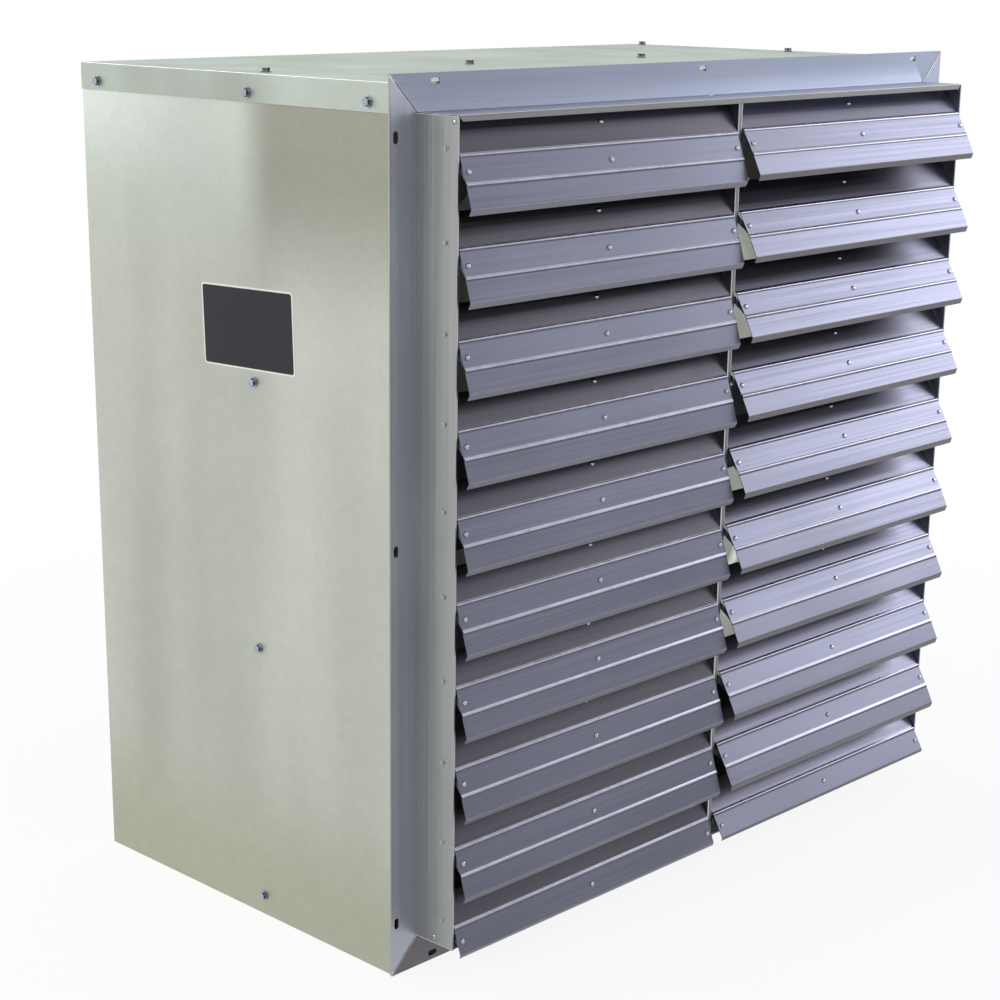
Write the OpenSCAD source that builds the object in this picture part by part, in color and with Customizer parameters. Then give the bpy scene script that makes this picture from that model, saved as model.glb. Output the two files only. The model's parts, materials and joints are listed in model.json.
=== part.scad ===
// Belt-driven cabinet fan with a two-column gravity shutter on its discharge side.
// Frame: X to the right of someone who faces the shutter, Y away from them, Z up.
// Origin: centre of the cabinet's base. Millimetres.

/* [Cabinet] */
// Width of the cabinet over the top panel's side lips
cab_w = 1066; // [1040:2:1200]
// Depth of the cabinet from its front face to its back face
cab_d = 568; // [560:2:700]
// Height of the cabinet
cab_h = 1059; // [1040:1:1200]
// Thickness of the galvanised sheet
cab_sheet = 1.2; // [0.9:0.1:1.5]
// Width of the flanges turned in at the front and back edges
return_w = 25; // [20:1:32]
// Height of the top panel's side lips
lip_h = 33; // [28:1:45]
// Height of the bottom panel's side lips
base_lip_h = 18; // [12:1:20]

/* [Orifice] */
// Distance of the orifice plate's back face in front of the cabinet's middle
orifice_back = 30; // [20:1:40]
// Width of the orifice panel's flanges
orifice_flange_w = 25; // [20:1:32]
// Diameter of the throat
throat_d = 932; // [926:1:940]
// Radius of the bell mouth
bell_r = 34; // [26:1:36]
// Length of the throat in front of the orifice plate
throat_len = 112; // [90:1:120]
// Radial play between parts that are slid together
fit_play = 0.1; // [0.05:0.05:0.3]

/* [Panel screws] */
// Radius of a screw's shank
screw_r = 2.8; // [2:0.1:3.2]
// Radius of a screw's washer face
screw_washer_r = 6.5; // [5:0.1:7]
// Thickness of a screw's washer face
screw_washer_t = 1.2; // [0.8:0.1:2]
// Size of a screw's hexagon over its corners
screw_hex_d = 10.4; // [8:0.1:11]
// Height of a screw's hexagon
screw_hex_h = 4.2; // [3:0.1:5]
// Length of a screw's shank
screw_len = 12; // [9:1:16]
// Distance of the top panel's outer screws from the cabinet's sides
top_screw_inset = 29; // [28:0.5:34]
// Distance of a side panel's lowest screw from the base
side_screw_inset = 25.5; // [24:0.5:30]
// Distance of the lip screws below the cabinet's top
lip_screw_drop = 22; // [20:1:24]
// Distance of the lip's end screws from the cabinet's front and back
lip_screw_inset = 35; // [32:1:60]

/* [Shutter frame] */
// How far the shutter flange stands out past each side of the cabinet
flange_over_side = 3; // [0:0.5:6]
// How far the shutter flange stands above the cabinet
flange_over_top = 9; // [4:0.5:14]
// Width of the shutter's flange
flange_face = 41.5; // [38:0.5:50]
// Thickness of the shutter frame's aluminium
frame_sheet = 2; // [1.6:0.1:3]
// Distance from the flange's front face to the frame's front edge
neck_depth = 63.5; // [60:0.5:80]
// How far the bottom rail's front edge is set back, to clear the closed last blade
sill_back = 3.6; // [3.4:0.1:6]
// Height of the lip turned down at the front of the top rail
rail_lip_h = 7; // [4:0.5:9]
// Thickness of the tabs that join the rails at the corners
tab_t = 1.1; // [0.8:0.1:1.2]
// Width of a flange slot
slot_w = 7; // [5:0.5:8]
// Length of a flange slot from end to end
slot_len = 14; // [11:1:18]
// Distance of the slots' middle from the flange's outer edge
slot_inset = 9; // [8.5:0.5:10]
// Distance between neighbouring slots
slot_pitch = 466.5; // [440:0.5:480]
// Distance between neighbouring studs behind the flange's upright sides
stud_pitch = 210; // [200:5:230]
// Width of the mullion
mullion_w = 8; // [7:0.5:12]
// Thickness of the mullion's sheet
mullion_sheet = 1.6; // [1.2:0.1:2]
// Depth of the mullion
mullion_d = 56; // [50:1:58]

/* [Shutter blades] */
// Distance of the blade pivots in front of the flange's front face
pivot_out = 45; // [44:0.5:48]
// Distance of the first pivot below the top of the neck
pivot_drop = 36; // [36:0.5:42]
// Distance of the last pivot above the bottom of the neck
pivot_rise = 36; // [35:0.5:42]
// Thickness of the blade sheet
blade_sheet = 1; // [0.8:0.1:1.4]
// Height of a closed blade's top edge above its pivot
edge_rise = 31.9; // [29:0.1:32]
// Distance of a closed blade's top edge in front of its pivot
edge_out = 6.6; // [5:0.1:8]
// Length of the upper facet
upper_len = 44; // [40:0.5:45]
// Slope of the closed upper facet from the vertical
upper_tilt = 10; // [8:0.5:13]
// Length of the middle facet
middle_len = 32.5; // [30:0.5:36]
// Slope of the closed middle facet from the vertical
middle_tilt = 4.5; // [2:0.5:8]
// Slope of the closed lower facet from the vertical
lower_tilt = 1; // [-3:0.5:3]
// Overlap of two closed blades
blade_overlap = 2; // [1:0.5:5]
// Length of the hem along the bottom edge
hem_len = 7.5; // [5:0.5:8]
// Slope of the closed hem from the vertical
hem_tilt = -45; // [-65:1:-40]
// Height of the bead along each ridge
bead_h = 1.2; // [0.6:0.1:2]
// Half the width of the bead along each ridge
bead_half = 2.6; // [2:0.1:4]
// Gap between a blade's end and the frame
blade_gap = 1.5; // [1:0.1:2]
// Length of the last blade's middle facet, which ends in a hem
last_len = 34.5; // [32:0.5:37]
// Length of the hem on the last blade
last_hem = 4; // [3:0.5:5]
// How far the left column stands open at rest, from closed
rest_left = 16; // [8:1:30]
// How far the right column stands open at rest, from closed
rest_right = 26; // [8:1:30]

/* [Blade fittings] */
// Radius of a pivot pin
pin_r = 2.75; // [2:0.05:3]
// Running clearance of a pin in its hole
pin_play = 0.06; // [0.03:0.01:0.09]
// How far a pivot pin stands out past the frame
pin_out = 2.4; // [1:0.1:4]
// Thickness of the end and middle brackets
bracket_t = 1.5; // [1.2:0.1:2]
// Width of a bracket's foot
foot_w = 14; // [13:0.5:20]
// Radius of a bracket's ear round its pin
ear_r = 5.2; // [4.5:0.1:5.5]
// Distance of the middle rivets below the upper ridge
rivet_drop = 18.5; // [16:0.5:21]
// Distance of the upper rivet below the blade's top edge
rivet_upper = 16.5; // [14:0.5:20]
// Distance of the end rivets from the blade's end
rivet_inset = 8; // [7:0.5:9]
// Radius of a rivet's shank
rivet_r = 1.6; // [1.2:0.1:2]
// Radius of a rivet's head
rivet_head_r = 3.3; // [2.8:0.1:4]
// Height of a rivet's head
rivet_head_h = 2; // [1.2:0.1:2.6]
// Radius of a rivet's tail
rivet_tail_r = 2.4; // [2.2:0.1:3]
// Height of a rivet's tail
rivet_tail_h = 1.2; // [0.8:0.1:2]
// Distance of the tie pin behind the closed blade's pivot
tie_back = 23; // [22:0.5:25]
// Height of the tie pin above the closed blade's pivot
tie_up = 24; // [22:0.5:26]
// Radius of a tie pin
tie_pin_r = 2.5; // [2:0.1:2.8]
// Thickness of the tie bar
tie_t = 2; // [1.5:0.1:3]
// Width of the tie bar
tie_w = 10; // [9:0.5:10.5]
// Side play of the tie bar on its pins
tie_play = 0.5; // [0.3:0.1:1]

/* [Propeller and shaft] */
// Running gap between the propeller's tips and the throat
tip_gap = 9; // [6:0.5:14]
// Number of propeller blades
prop_blades = 6; // [3:1:6]
// Distance of the propeller's middle in front of the orifice plate's back face
prop_ahead = 60; // [58:1:66]
// Slope of the propeller blades from their plane of rotation
prop_pitch = 27; // [20:1:30]
// Radius of the propeller blades' curved section
prop_camber_r = 300; // [260:10:400]
// Thickness of the propeller blades
prop_t = 2; // [1.5:0.1:3]
// Width of a propeller blade near its tip
prop_chord = 176; // [150:2:185]
// Radius at which the propeller blades start
prop_root_r = 92; // [80:1:110]
// Radius at which the propeller's arms end
arm_end = 210; // [190:1:230]
// Width of a propeller arm
arm_w = 60; // [50:1:64]
// Thickness of a propeller arm
arm_t = 3; // [2.5:0.5:5]
// Radius of the propeller's hub
hub_r = 42; // [36:1:48]
// Length of the propeller's hub
hub_len = 54; // [40:1:60]
// Radius of the fan shaft
shaft_r = 12.7; // [11:0.1:14]
// Radial play of a hub or sheave on its shaft
hub_play = 0.02; // [0.01:0.01:0.05]

/* [Drive] */
// Distance from the cabinet's middle to the middle of the belt
belt_back = 215; // [212:1:225]
// Distance between the fan shaft and the motor shaft
drive_centres = 330; // [320:1:345]
// Pitch diameter of the fan sheave
fan_sheave_pd = 248; // [200:1:260]
// Pitch diameter of the motor sheave
motor_sheave_pd = 82; // [70:1:110]
// Width of the belt's back
belt_w = 12.7; // [10:0.1:13]
// Thickness of the belt
belt_t = 8; // [7:0.1:9]
// Slope of the belt's flanks
belt_flank = 19; // [17:1:20]
// Clearance between the belt and the grooves
belt_play = 0.3; // [0.3:0.05:0.6]
// Half the clear width between the drive posts
post_half = 96; // [92:1:110]
// Depth of a drive post
post_d = 76; // [60:1:80]
// Width of a drive post's flanges
post_flange = 34; // [28:1:38]
// Thickness of the drive posts and shelves
post_t = 3; // [2.5:0.5:5]
// Distance from the orifice plate to the shelves' front edge
shelf_ahead = 34; // [30:1:38]
// Depth of the bearing saddle
saddle_d = 176; // [170:1:180]
// Height of the shelves' side flanges
shelf_flange_h = 56; // [50:1:70]
// Height of a pillow block's shaft above its foot
block_rise = 36.5; // [34:0.5:42]
// Length of a pillow block's foot
block_len = 140; // [136:1:150]
// Width of a pillow block's foot
block_w = 38; // [34:1:42]
// Thickness of a pillow block's foot
block_foot_t = 14; // [12:1:16]
// Radius of a pillow block's housing
block_r = 35; // [32:1:36]
// Distance between a pillow block's bolts
block_bolts = 105; // [100:1:110]
// Outer radius of the bearing insert
insert_r = 26; // [24:0.5:28]
// Inner radius of the bearing insert's outer ring
race_r = 19; // [17:0.5:21]
// Distance from the front bearing to the shelves' front edge
bearing_inset = 26; // [24:1:30]
// Distance between the two bearings
bearing_span = 122; // [110:1:125]
// Radius of a drive bolt
bolt_r = 4; // [3:0.5:5]
// Radius of a drive bolt's head over its corners
bolt_head_r = 7.4; // [6.6:0.1:7.6]
// Height of a drive bolt's head
bolt_head_h = 5.5; // [4:0.5:7]

/* [Motor] */
// Radius of the motor's shell
motor_r = 82; // [76:1:84]
// Thickness of the motor's shell
motor_shell_t = 2.5; // [2:0.5:4]
// Length of the motor's shell
motor_len = 146; // [130:1:150]
// Thickness of the motor's end bells
motor_bell_t = 18; // [15:1:20]
// Height of the motor's shaft above its foot
motor_rise = 89; // [88:0.5:95]
// Radius of the motor's shaft
motor_shaft_r = 7.94; // [7:0.01:9]
// Distance between the motor's foot bolts across the motor
motor_bolts_x = 124; // [118:1:130]
// Distance between the motor's foot bolts along the motor
motor_bolts_y = 76; // [70:1:90]
// Thickness of the motor's foot
motor_foot_t = 3; // [2.5:0.5:5]
// Inner radius of the stator
stator_r = 48; // [42:1:52]
// Air gap between the rotor and the stator
air_gap = 0.6; // [0.4:0.1:1]
// Radius of the conduit knock-out in the junction box
knockout_r = 11.1; // [8:0.1:14]
// Width of the junction box along the motor
jbox_w = 70; // [60:1:90]
// Height of the junction box
jbox_h = 62; // [50:1:70]
// Depth of the junction box
jbox_d = 38; // [34:1:44]
// Wall of the junction box
jbox_t = 2; // [1.5:0.1:3]

/* [Guard and label] */
// Radius of the inlet guard's wires
wire_r = 1.7; // [1.2:0.1:2.5]
// Distance between the guard's upright wires, rounded to fill its width
wire_pitch_x = 50.8; // [40:0.1:80]
// Distance between the guard's level wires, rounded to fill its height
wire_pitch_z = 101.6; // [80:0.1:110]
// Gap left between pieces that lie on each other
seat_gap = 0.1; // [0:0.05:0.3]
// Width of the open seams at the shutter frame's mitred corners
mitre_gap = 0.8; // [0.1:0.1:1]
// Length of the label plate
label_l = 169.5; // [120:0.5:200]
// Height of the label plate
label_h = 99.5; // [60:0.5:120]
// Radius of the label plate's corners
label_corner = 4.5; // [1:0.5:10]
// Turn of the label plate, with its front end up
label_turn = 1.9; // [0:0.1:4]
// Thickness of the label plate
label_t = 0.5; // [0.4:0.1:1]
// Distance of the label's middle in front of the cabinet's middle
label_ahead = 33; // [20:1:80]
// Height of the label's middle
label_z = 761; // [600:1:800]

/* [Hidden] */
$fn = 48;
blade_rows = 10;
columns = ["left", "right"];
eps = 1;

// Cabinet
side_x = cab_w/2 - cab_sheet;          // outer face of a side panel
side_in = side_x - cab_sheet;          // inner face of a side panel
front_y = -cab_d/2;
back_y = cab_d/2;
roof_z = cab_h - cab_sheet;            // underside of the top panel
orifice_y = -orifice_back;             // back face of the orifice plate
screw_y = orifice_y - orifice_flange_w/2;
edge_screws = 4;                       // screws along each edge of the orifice panel
throat_r = throat_d/2;
bell_rim = 12;                         // width of the bell mouth's flat rim
axis_z = cab_h/2;                      // height of the fan shaft

// Shutter
shutter_w = cab_w + 2*flange_over_side;
shutter_h = cab_h + flange_over_top;
flange_y = front_y - frame_sheet;      // front face of the flange
neck_y = flange_y - neck_depth;        // front edge of the neck
neck_w = shutter_w - 2*flange_face;
neck_h = shutter_h - 2*flange_face;
neck_top = shutter_h - flange_face;
neck_side = neck_w/2;
pivot_y = flange_y - pivot_out;
blade_pitch = (neck_h - pivot_drop - pivot_rise)/(blade_rows - 1);
column_in = mullion_w/2 + blade_gap;
column_out = neck_side - frame_sheet - blade_gap;
blade_len = column_out - column_in;
column_x = (column_in + column_out)/2;
tab_w = 7;                             // corner tabs of the top rail
tab_h = 10;
foot_tab = 14;                         // corner tabs of the bottom rail
foot_tab_ahead = 31.5;                 // corner tabs of the bottom rail in front of the flange
foot_tab_y = flange_y - foot_tab_ahead;
rail_rivet_y = flange_y - 12;          // mullion's rivets in the top and bottom rails
mullion_y = neck_y + frame_sheet;
mullion_tab_ahead = 8;                 // how far the mullion's end tabs reach ahead of their rivets
pin_past_mullion = 0.6;                // how far the inner pivot pins reach into the mullion

// Blade section, closed, as points [in front of the pivot, below the pivot]
function step(p, len, tilt) = p + len*[sin(tilt), cos(tilt)];
top_edge = [edge_out, -edge_rise];
ridge_1 = step(top_edge, upper_len, upper_tilt);
ridge_2 = step(ridge_1, middle_len, middle_tilt);
foot_drop = blade_pitch - edge_rise + blade_overlap;
lower_len = (foot_drop - ridge_2[1])/cos(lower_tilt);
bottom_edge = step(ridge_2, lower_len, lower_tilt);
hem_end = step(bottom_edge, hem_len, hem_tilt);
last_edge = step(ridge_1, last_len, middle_tilt);
last_hem_end = step(last_edge, last_hem, hem_tilt);
function out(tilt) = [cos(tilt), -sin(tilt)];
function bead(p, before, after) = [
    step(p, -bead_half, before),
    p + bead_h*out((before + after)/2),
    step(p, bead_half, after)
];
blade_path = concat([top_edge], bead(ridge_1, upper_tilt, middle_tilt),
    bead(ridge_2, middle_tilt, lower_tilt), [bottom_edge, hem_end]);
last_path = concat([top_edge], bead(ridge_1, upper_tilt, middle_tilt), [last_edge, last_hem_end]);
tie_pin = [-tie_back, -tie_up];
tie_end = 5.5;                         // how far a tie bar reaches past its end pins
foot_above = 9;                        // reach of a middle foot above and below its rivet
foot_below = 8;
last_foot_below = 2.5;                 // the last blade's feet end above the bottom rail
upper_foot_half = 8;                   // reach of an upper foot on both sides of its rivet
ear_inset = 1.5;                       // an ear's line on a foot ends this far inside the foot
ear_root = 0.94*ear_r;                 // half the width of an ear where its straight edges start

// Propeller and drive
prop_y = orifice_y - prop_ahead;
prop_r = throat_r - tip_gap;
shaft_past = 5;                        // how far the shafts stand out past hubs and sheaves
shaft_chamfer = 1.2;
arm_rivet_r = 3.2;
arm_rivet_head_r = 5.8;
arm_rivet_head_h = 2.5;
arm_rivet_inset = 18;                  // arm rivets from the ends of the arm's lap on the blade
arm_root = 3;                          // half the thickness of an arm's root block
arm_root_len = 15;
shelf_y = orifice_y + shelf_ahead;     // front edge of the bearing saddle and motor shelf
saddle_z = axis_z - block_rise;        // top face of the bearing saddle
shelf_bolt_y = (shelf_y + orifice_y + post_d - post_t)/2;
shelf_bolt_pitch = 16;
shelf_bolt_drop = 30;                  // shelf bolts below the top face of their shelf
bearing_y = [shelf_y + bearing_inset, shelf_y + bearing_inset + bearing_span];
fan_sheave_r = fan_sheave_pd/2;
motor_sheave_r = motor_sheave_pd/2;
belt_lift = 3;                         // belt's back outside the pitch line
groove_r = belt_t - belt_lift;         // belt's inside below the pitch line
groove_room = 2;                       // groove's floor below the belt
rim_over = 1.5;                        // rim above the belt's back
rim_depth = 22;                        // rim's inner edge below the pitch line
web_t = 8;
sheave_w = 24;
sheave_bore_len = 34;
fan_sheave_hub_r = 30;
motor_sheave_hub_r = 17;
belt_inset = 0.06;
motor_z = axis_z - drive_centres;
shelf_z = motor_z - motor_rise;        // top face of the motor shelf
motor_inset = 25;                      // the motor's back face in front of the belt's back
motor_back = belt_back - motor_inset;
motor_front = motor_back - motor_len - 2*motor_bell_t;
motor_mid = (motor_front + motor_back)/2;
post_end_gap = 4;                      // room above and below the drive posts
post_top = cab_h - 2*cab_sheet - post_end_gap;
post_foot = 2*cab_sheet + post_end_gap;
post_bolt_end = 12;                    // post bolts from the ends of the posts
slot_play = 0.3;
tension_slot = 30;                     // slots for tightening the belt
corner_tab_d = 72;                     // depth of the side panels' tabs under the top panel
corner_tab_in = 5.6;                   // the back corner screw outside the tab's edge
guard_washer_r = 11;
guard_washer_t = 1.5;
foot_past_bolt = 16;
foot_leg_t = 4;
foot_leg_in = 26;                      // legs of the motor's foot inside its bolts
foot_leg_x = motor_bolts_x/2 - foot_leg_in;
bell_wall = 4;
bell_boss_r = 24;
bell_holes = 8;
bell_hole_r = 9;
bell_hole_ring = 51;                   // radius of the ring of air holes in an end bell
stator_half = 38;
jbox_back = 18;                        // junction box behind the motor's middle
insert_w = 24;                         // widths of the bearings' outer and inner rings
inner_ring_w = 34;
block_relief = 2;                      // a housing is narrower than its foot by this on each side

// Guard
guard_lap = 4;                         // how far the outer wires lie behind the back flanges
wire_end = 6;                          // how far the wires reach past the outer wires
guard_screw_gap = 0.8;
guard_clamp_row = 3;                   // the clamps sit in this row of the mesh, from the middle
guard_y = back_y - cab_sheet - wire_r - seat_gap;
guard_x = side_x - return_w + guard_lap;
guard_z = cab_h/2 - return_w + guard_lap;
guard_cols = round(2*guard_x/wire_pitch_x);
guard_rows = 2*round(guard_z/wire_pitch_z);

galvanised = [0.77, 0.78, 0.72];
aluminium = [0.60, 0.61, 0.68];
zinc = [0.72, 0.74, 0.80];
steel = [0.55, 0.56, 0.58];
black = [0.07, 0.07, 0.08];
motor_paint = [0.20, 0.21, 0.23];

// ---------- helpers ----------

// A box between two opposite corners
module block(lo, hi) {
    translate(lo) cube(hi - lo);
}

// Lays a section, drawn as [in front, up], along X
module along_x(len) {
    rotate([90, 0, -90]) linear_extrude(height = len, center = true) children();
}

// Cylinder along X from x0 to x1
module rod_x(x0, x1, r) {
    translate([x0, 0, 0]) rotate([0, 90, 0]) cylinder(h = x1 - x0, r = r);
}

// Cylinder along Y from y0 to y1
module rod_y(y0, y1, r) {
    translate([0, y1, 0]) rotate([90, 0, 0]) cylinder(h = y1 - y0, r = r);
}

// Puts a piece made along +Z, with z = 0 at the seat, on the left (-1) or right (1) face
module face_side(side) {
    rotate([0, side*90, 0]) children();
}

// Hexagon screw with a washer face; its head stands up from z = 0 and its shank points down
module screw(len) {
    cylinder(h = screw_washer_t, r = screw_washer_r);
    translate([0, 0, screw_washer_t]) cylinder(h = screw_hex_h, d = screw_hex_d, $fn = 6);
    translate([0, 0, -len]) cylinder(h = len, r = screw_r);
}

// Hole for a panel screw, through everything near z = 0
module screw_hole() {
    translate([0, 0, -3*screw_r]) cylinder(h = 6*screw_r, r = screw_r + fit_play);
}

// Hexagon bolt with its seat at z = 0, its shank pointing down and a nut on the shank's end
module bolt(len) {
    cylinder(h = bolt_head_h, r = bolt_head_r, $fn = 6);
    translate([0, 0, -len]) cylinder(h = len, r = bolt_r);
    translate([0, 0, -len]) difference() {
        cylinder(h = bolt_head_h, r = bolt_head_r, $fn = 6);
        translate([0, 0, -eps]) cylinder(h = bolt_head_h + 2*eps, r = bolt_r + fit_play/2);
    }
}

// Rivet with its domed head on z = 0 and its shank pointing down through a grip
module rivet(grip) {
    rotate_extrude() polygon([
        [0, -grip - rivet_tail_h], [rivet_tail_r, -grip - rivet_tail_h], [rivet_tail_r, -grip],
        [rivet_r, -grip],
        [rivet_r, 0], [rivet_head_r, 0], [0.93*rivet_head_r, 0.4*rivet_head_h],
        [0.66*rivet_head_r, 0.8*rivet_head_h], [0.3*rivet_head_r, rivet_head_h], [0, rivet_head_h]
    ]);
}

// Slot through z = 0, long along X
module slot(len, w, depth) {
    for (s = [-1, 1]) translate([s*(len - w)/2, 0, -depth]) cylinder(h = 2*depth, d = w);
    translate([-(len - w)/2, -w/2, -depth]) cube([len - w, w, 2*depth]);
}

// ---------- places that several pieces share ----------

// A lip screw takes the place of the highest one
module at_side_screws(side) {
    pitch = (cab_h - 2*side_screw_inset)/(edge_screws - 1);
    for (i = [0:edge_screws - 2])
        translate([side*side_x, screw_y, side_screw_inset + i*pitch]) face_side(side) children();
}

module at_lip_screws(side) {
    for (y = [front_y + lip_screw_inset, screw_y, back_y - lip_screw_inset])
        translate([side*cab_w/2, y, cab_h - lip_screw_drop]) face_side(side) children();
}

// Screws along the orifice panel's top or bottom flange, at height z
module at_level_screws(z) {
    x = cab_w/2 - top_screw_inset;
    for (i = [0:edge_screws - 1]) translate([-x + i*2*x/(edge_screws - 1), screw_y, z]) children();
}

module at_top_screws() {
    at_level_screws(cab_h) children();
}

module at_base_screws() {
    at_level_screws(2*cab_sheet + seat_gap) children();
}

// The one screw at the back right corner of the top panel
module at_corner_screw() {
    translate([side_x - return_w + corner_tab_in, back_y - corner_tab_d/2, cab_h]) children();
}

// Screws that clamp the inlet guard, from behind
module at_guard_screws() {
    x = guard_x + wire_r + screw_r + guard_screw_gap;
    z = (guard_clamp_row + 0.5)*2*guard_z/guard_rows;
    for (s = [-1, 1], t = [-1, 1])
        translate([s*x, back_y, cab_h/2 + t*z]) rotate([-90, 0, 0]) children();
}

// Slots of the shutter flange's left or right side, along Z
module at_flange_slots(side) {
    for (i = [-1:1])
        translate([side*(shutter_w/2 - slot_inset), flange_y, shutter_h/2 + i*slot_pitch])
            rotate([90, 90, 0]) children();
}

// Slots of the shutter flange's bottom (0) or top (1), along X
module at_level_slots(top) {
    z = top == 1 ? shutter_h - slot_inset : slot_inset;
    for (i = [-1:1]) translate([i*slot_pitch, flange_y, z]) rotate([90, 0, 0]) children();
}

// Studs welded to the back of the shutter's flange, through the cabinet's front flanges
module at_shutter_studs() {
    inset = return_w/2 + screw_r;
    for (s = [-1, 1], i = [-1.5:1.5])
        translate([s*(side_x - inset), front_y, cab_h/2 + i*stud_pitch])
            rotate([-90, 0, 0]) children();
    for (s = [-1, 1], z = [inset, cab_h - inset])
        translate([s*slot_pitch/2, front_y, z]) rotate([-90, 0, 0]) children();
}

// Corner rivets through the side rails, from outside; the neck's outer face is z = 0
module at_rail_rivets(side) {
    for (p = [[neck_y + frame_sheet + tab_w/2, neck_top - frame_sheet - tab_h/2],
              [foot_tab_y, flange_face + frame_sheet + foot_tab/2]])
        translate([side*neck_side, p[0], p[1]]) face_side(side) children();
}

module at_pivots() {
    for (i = [0:blade_rows - 1])
        translate([0, pivot_y, neck_top - pivot_drop - i*blade_pitch]) children();
}

// ---------- cabinet ----------

module side_panel(side) {
    color(galvanised) difference() {
        mirror([side < 0 ? 1 : 0, 0, 0]) {
            block([side_in, front_y, 0], [side_x, back_y, roof_z]);
            block([side_x - return_w, front_y, 0], [side_x, front_y + cab_sheet, roof_z]);
            block([side_x - return_w, back_y - cab_sheet, 0], [side_x, back_y, roof_z]);
            block([side_x - return_w, back_y - corner_tab_d, roof_z - cab_sheet],
                [side_x, back_y, roof_z]);
        }
        at_side_screws(side) screw_hole();
        at_lip_screws(side) screw_hole();
        at_flange_slots(side) slot(slot_len, slot_w, 2*frame_sheet + cab_sheet);
        at_shutter_studs() screw_hole();
        at_guard_screws() screw_hole();
        at_corner_screw() screw_hole();
    }
}

module side_panel_left() { side_panel(-1); }

module side_panel_right() { side_panel(1); }

module top_panel() {
    inner = side_x - return_w - seat_gap;
    color(galvanised) difference() {
        union() {
            block([-cab_w/2, front_y, roof_z], [cab_w/2, back_y, cab_h]);
            for (s = [0, 1]) mirror([s, 0, 0])
                block([side_x, front_y, cab_h - lip_h], [cab_w/2, back_y, cab_h]);
            for (y = [front_y, back_y - cab_sheet])
                block([-inner, y, cab_h - return_w], [inner, y + cab_sheet, cab_h]);
        }
        at_top_screws() screw_hole();
        at_corner_screw() screw_hole();
        for (s = [-1, 1]) at_lip_screws(s) screw_hole();
        at_shutter_studs() screw_hole();
    }
}

module bottom_panel() {
    x = side_in - seat_gap;
    inner = side_x - return_w - seat_gap;
    y0 = front_y + cab_sheet + seat_gap;
    color(galvanised) difference() {
        union() {
            block([-x, y0, 0], [x, -y0, cab_sheet]);
            for (s = [0, 1]) mirror([s, 0, 0]) block([x - cab_sheet, y0, 0], [x, -y0, base_lip_h]);
            for (s = [0, 1]) mirror([0, s, 0]) {
                block([-inner, front_y, 0], [inner, front_y + cab_sheet, return_w]);
                block([-inner, front_y, 0], [inner, y0 + eps, cab_sheet]);
            }
        }
        at_base_screws() screw_hole();
        at_level_slots(0) slot(slot_len, slot_w, 2*frame_sheet + cab_sheet);
        at_shutter_studs() screw_hole();
    }
}

// Bell mouth with its rim and the straight throat, as [radius, distance ahead of the rim]
module throat_section() {
    bell = throat_r + bell_r;
    intersection() {
        translate([bell, bell_r]) difference() {
            circle(r = bell_r, $fn = 96);
            circle(r = bell_r - cab_sheet, $fn = 96);
        }
        translate([throat_r, 0]) square(bell_r);
    }
    translate([bell, 0]) square([bell_rim, cab_sheet]);
    translate([throat_r, bell_r]) square([cab_sheet, throat_len - bell_r]);
}

// Spun ring, welded by its rim to the front of the orifice panel
module throat_ring() {
    color(galvanised) translate([0, orifice_y - cab_sheet - seat_gap, axis_z]) rotate([90, 0, 0])
        rotate_extrude($fn = 128) throat_section();
}

module orifice_panel() {
    x = side_in - seat_gap;
    y0 = orifice_y - orifice_flange_w;
    z0 = cab_sheet + seat_gap;
    z1 = roof_z - seat_gap;
    notch_x = x - cab_sheet - seat_gap;
    color(galvanised) difference() {
        union() {
            difference() {
                block([-x, orifice_y - cab_sheet, z0], [x, orifice_y, z1]);
                translate([0, 0, axis_z])
                    rod_y(orifice_y - 2*cab_sheet, orifice_y + cab_sheet, throat_r + bell_r);
            }
            for (s = [0, 1]) mirror([s, 0, 0])
                block([x - cab_sheet, y0, z0], [x, orifice_y, z1]);
            block([-x, y0, z1 - cab_sheet], [x, orifice_y, z1]);
            block([-x, y0, z0], [x, orifice_y, z0 + cab_sheet]);
        }
        for (s = [0, 1]) mirror([s, 0, 0])
            block([notch_x, y0 - eps, 0], [side_x, orifice_y + eps, base_lip_h + 1]);
        for (s = [-1, 1]) at_side_screws(s) screw_hole();
        for (s = [-1, 1]) at_lip_screws(s) screw_hole();
        at_top_screws() screw_hole();
        at_base_screws() screw_hole();
        at_post_bolts() cylinder(h = 8*cab_sheet, r = bolt_r + fit_play, center = true);
    }
}

module panel_screws() {
    color(zinc) {
        for (s = [-1, 1]) at_side_screws(s) screw(screw_len);
        at_top_screws() screw(screw_len);
        at_corner_screw() screw(screw_len);
        at_base_screws() screw(2*cab_sheet);
        at_guard_screws() guard_clamp();
        for (s = [-1, 1]) at_lip_screws(s) screw(screw_len);
    }
}

// Screw with the washer that holds the guard's end wire against the flange
module guard_clamp() {
    inside = -cab_sheet - 4*wire_r - 3*seat_gap;
    screw(screw_len);
    translate([0, 0, inside - guard_washer_t]) difference() {
        cylinder(h = guard_washer_t, r = guard_washer_r);
        translate([0, 0, -eps]) cylinder(h = guard_washer_t + 2*eps, r = screw_r + fit_play/2);
    }
}

// Upright wires that lie on the flanges, with level wires welded across them
module inlet_guard() {
    layer = 2*wire_r + seat_gap;
    color(zinc) translate([0, guard_y, cab_h/2]) {
        for (i = [0:guard_cols])
            translate([-guard_x + i*2*guard_x/guard_cols, 0, -guard_z - wire_end])
            cylinder(h = 2*(guard_z + wire_end), r = wire_r, $fn = 16);
        for (i = [0:guard_rows])
            translate([-guard_x - wire_end, -layer, -guard_z + i*2*guard_z/guard_rows])
            rotate([0, 90, 0]) cylinder(h = 2*(guard_x + wire_end), r = wire_r, $fn = 16);
    }
}

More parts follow.
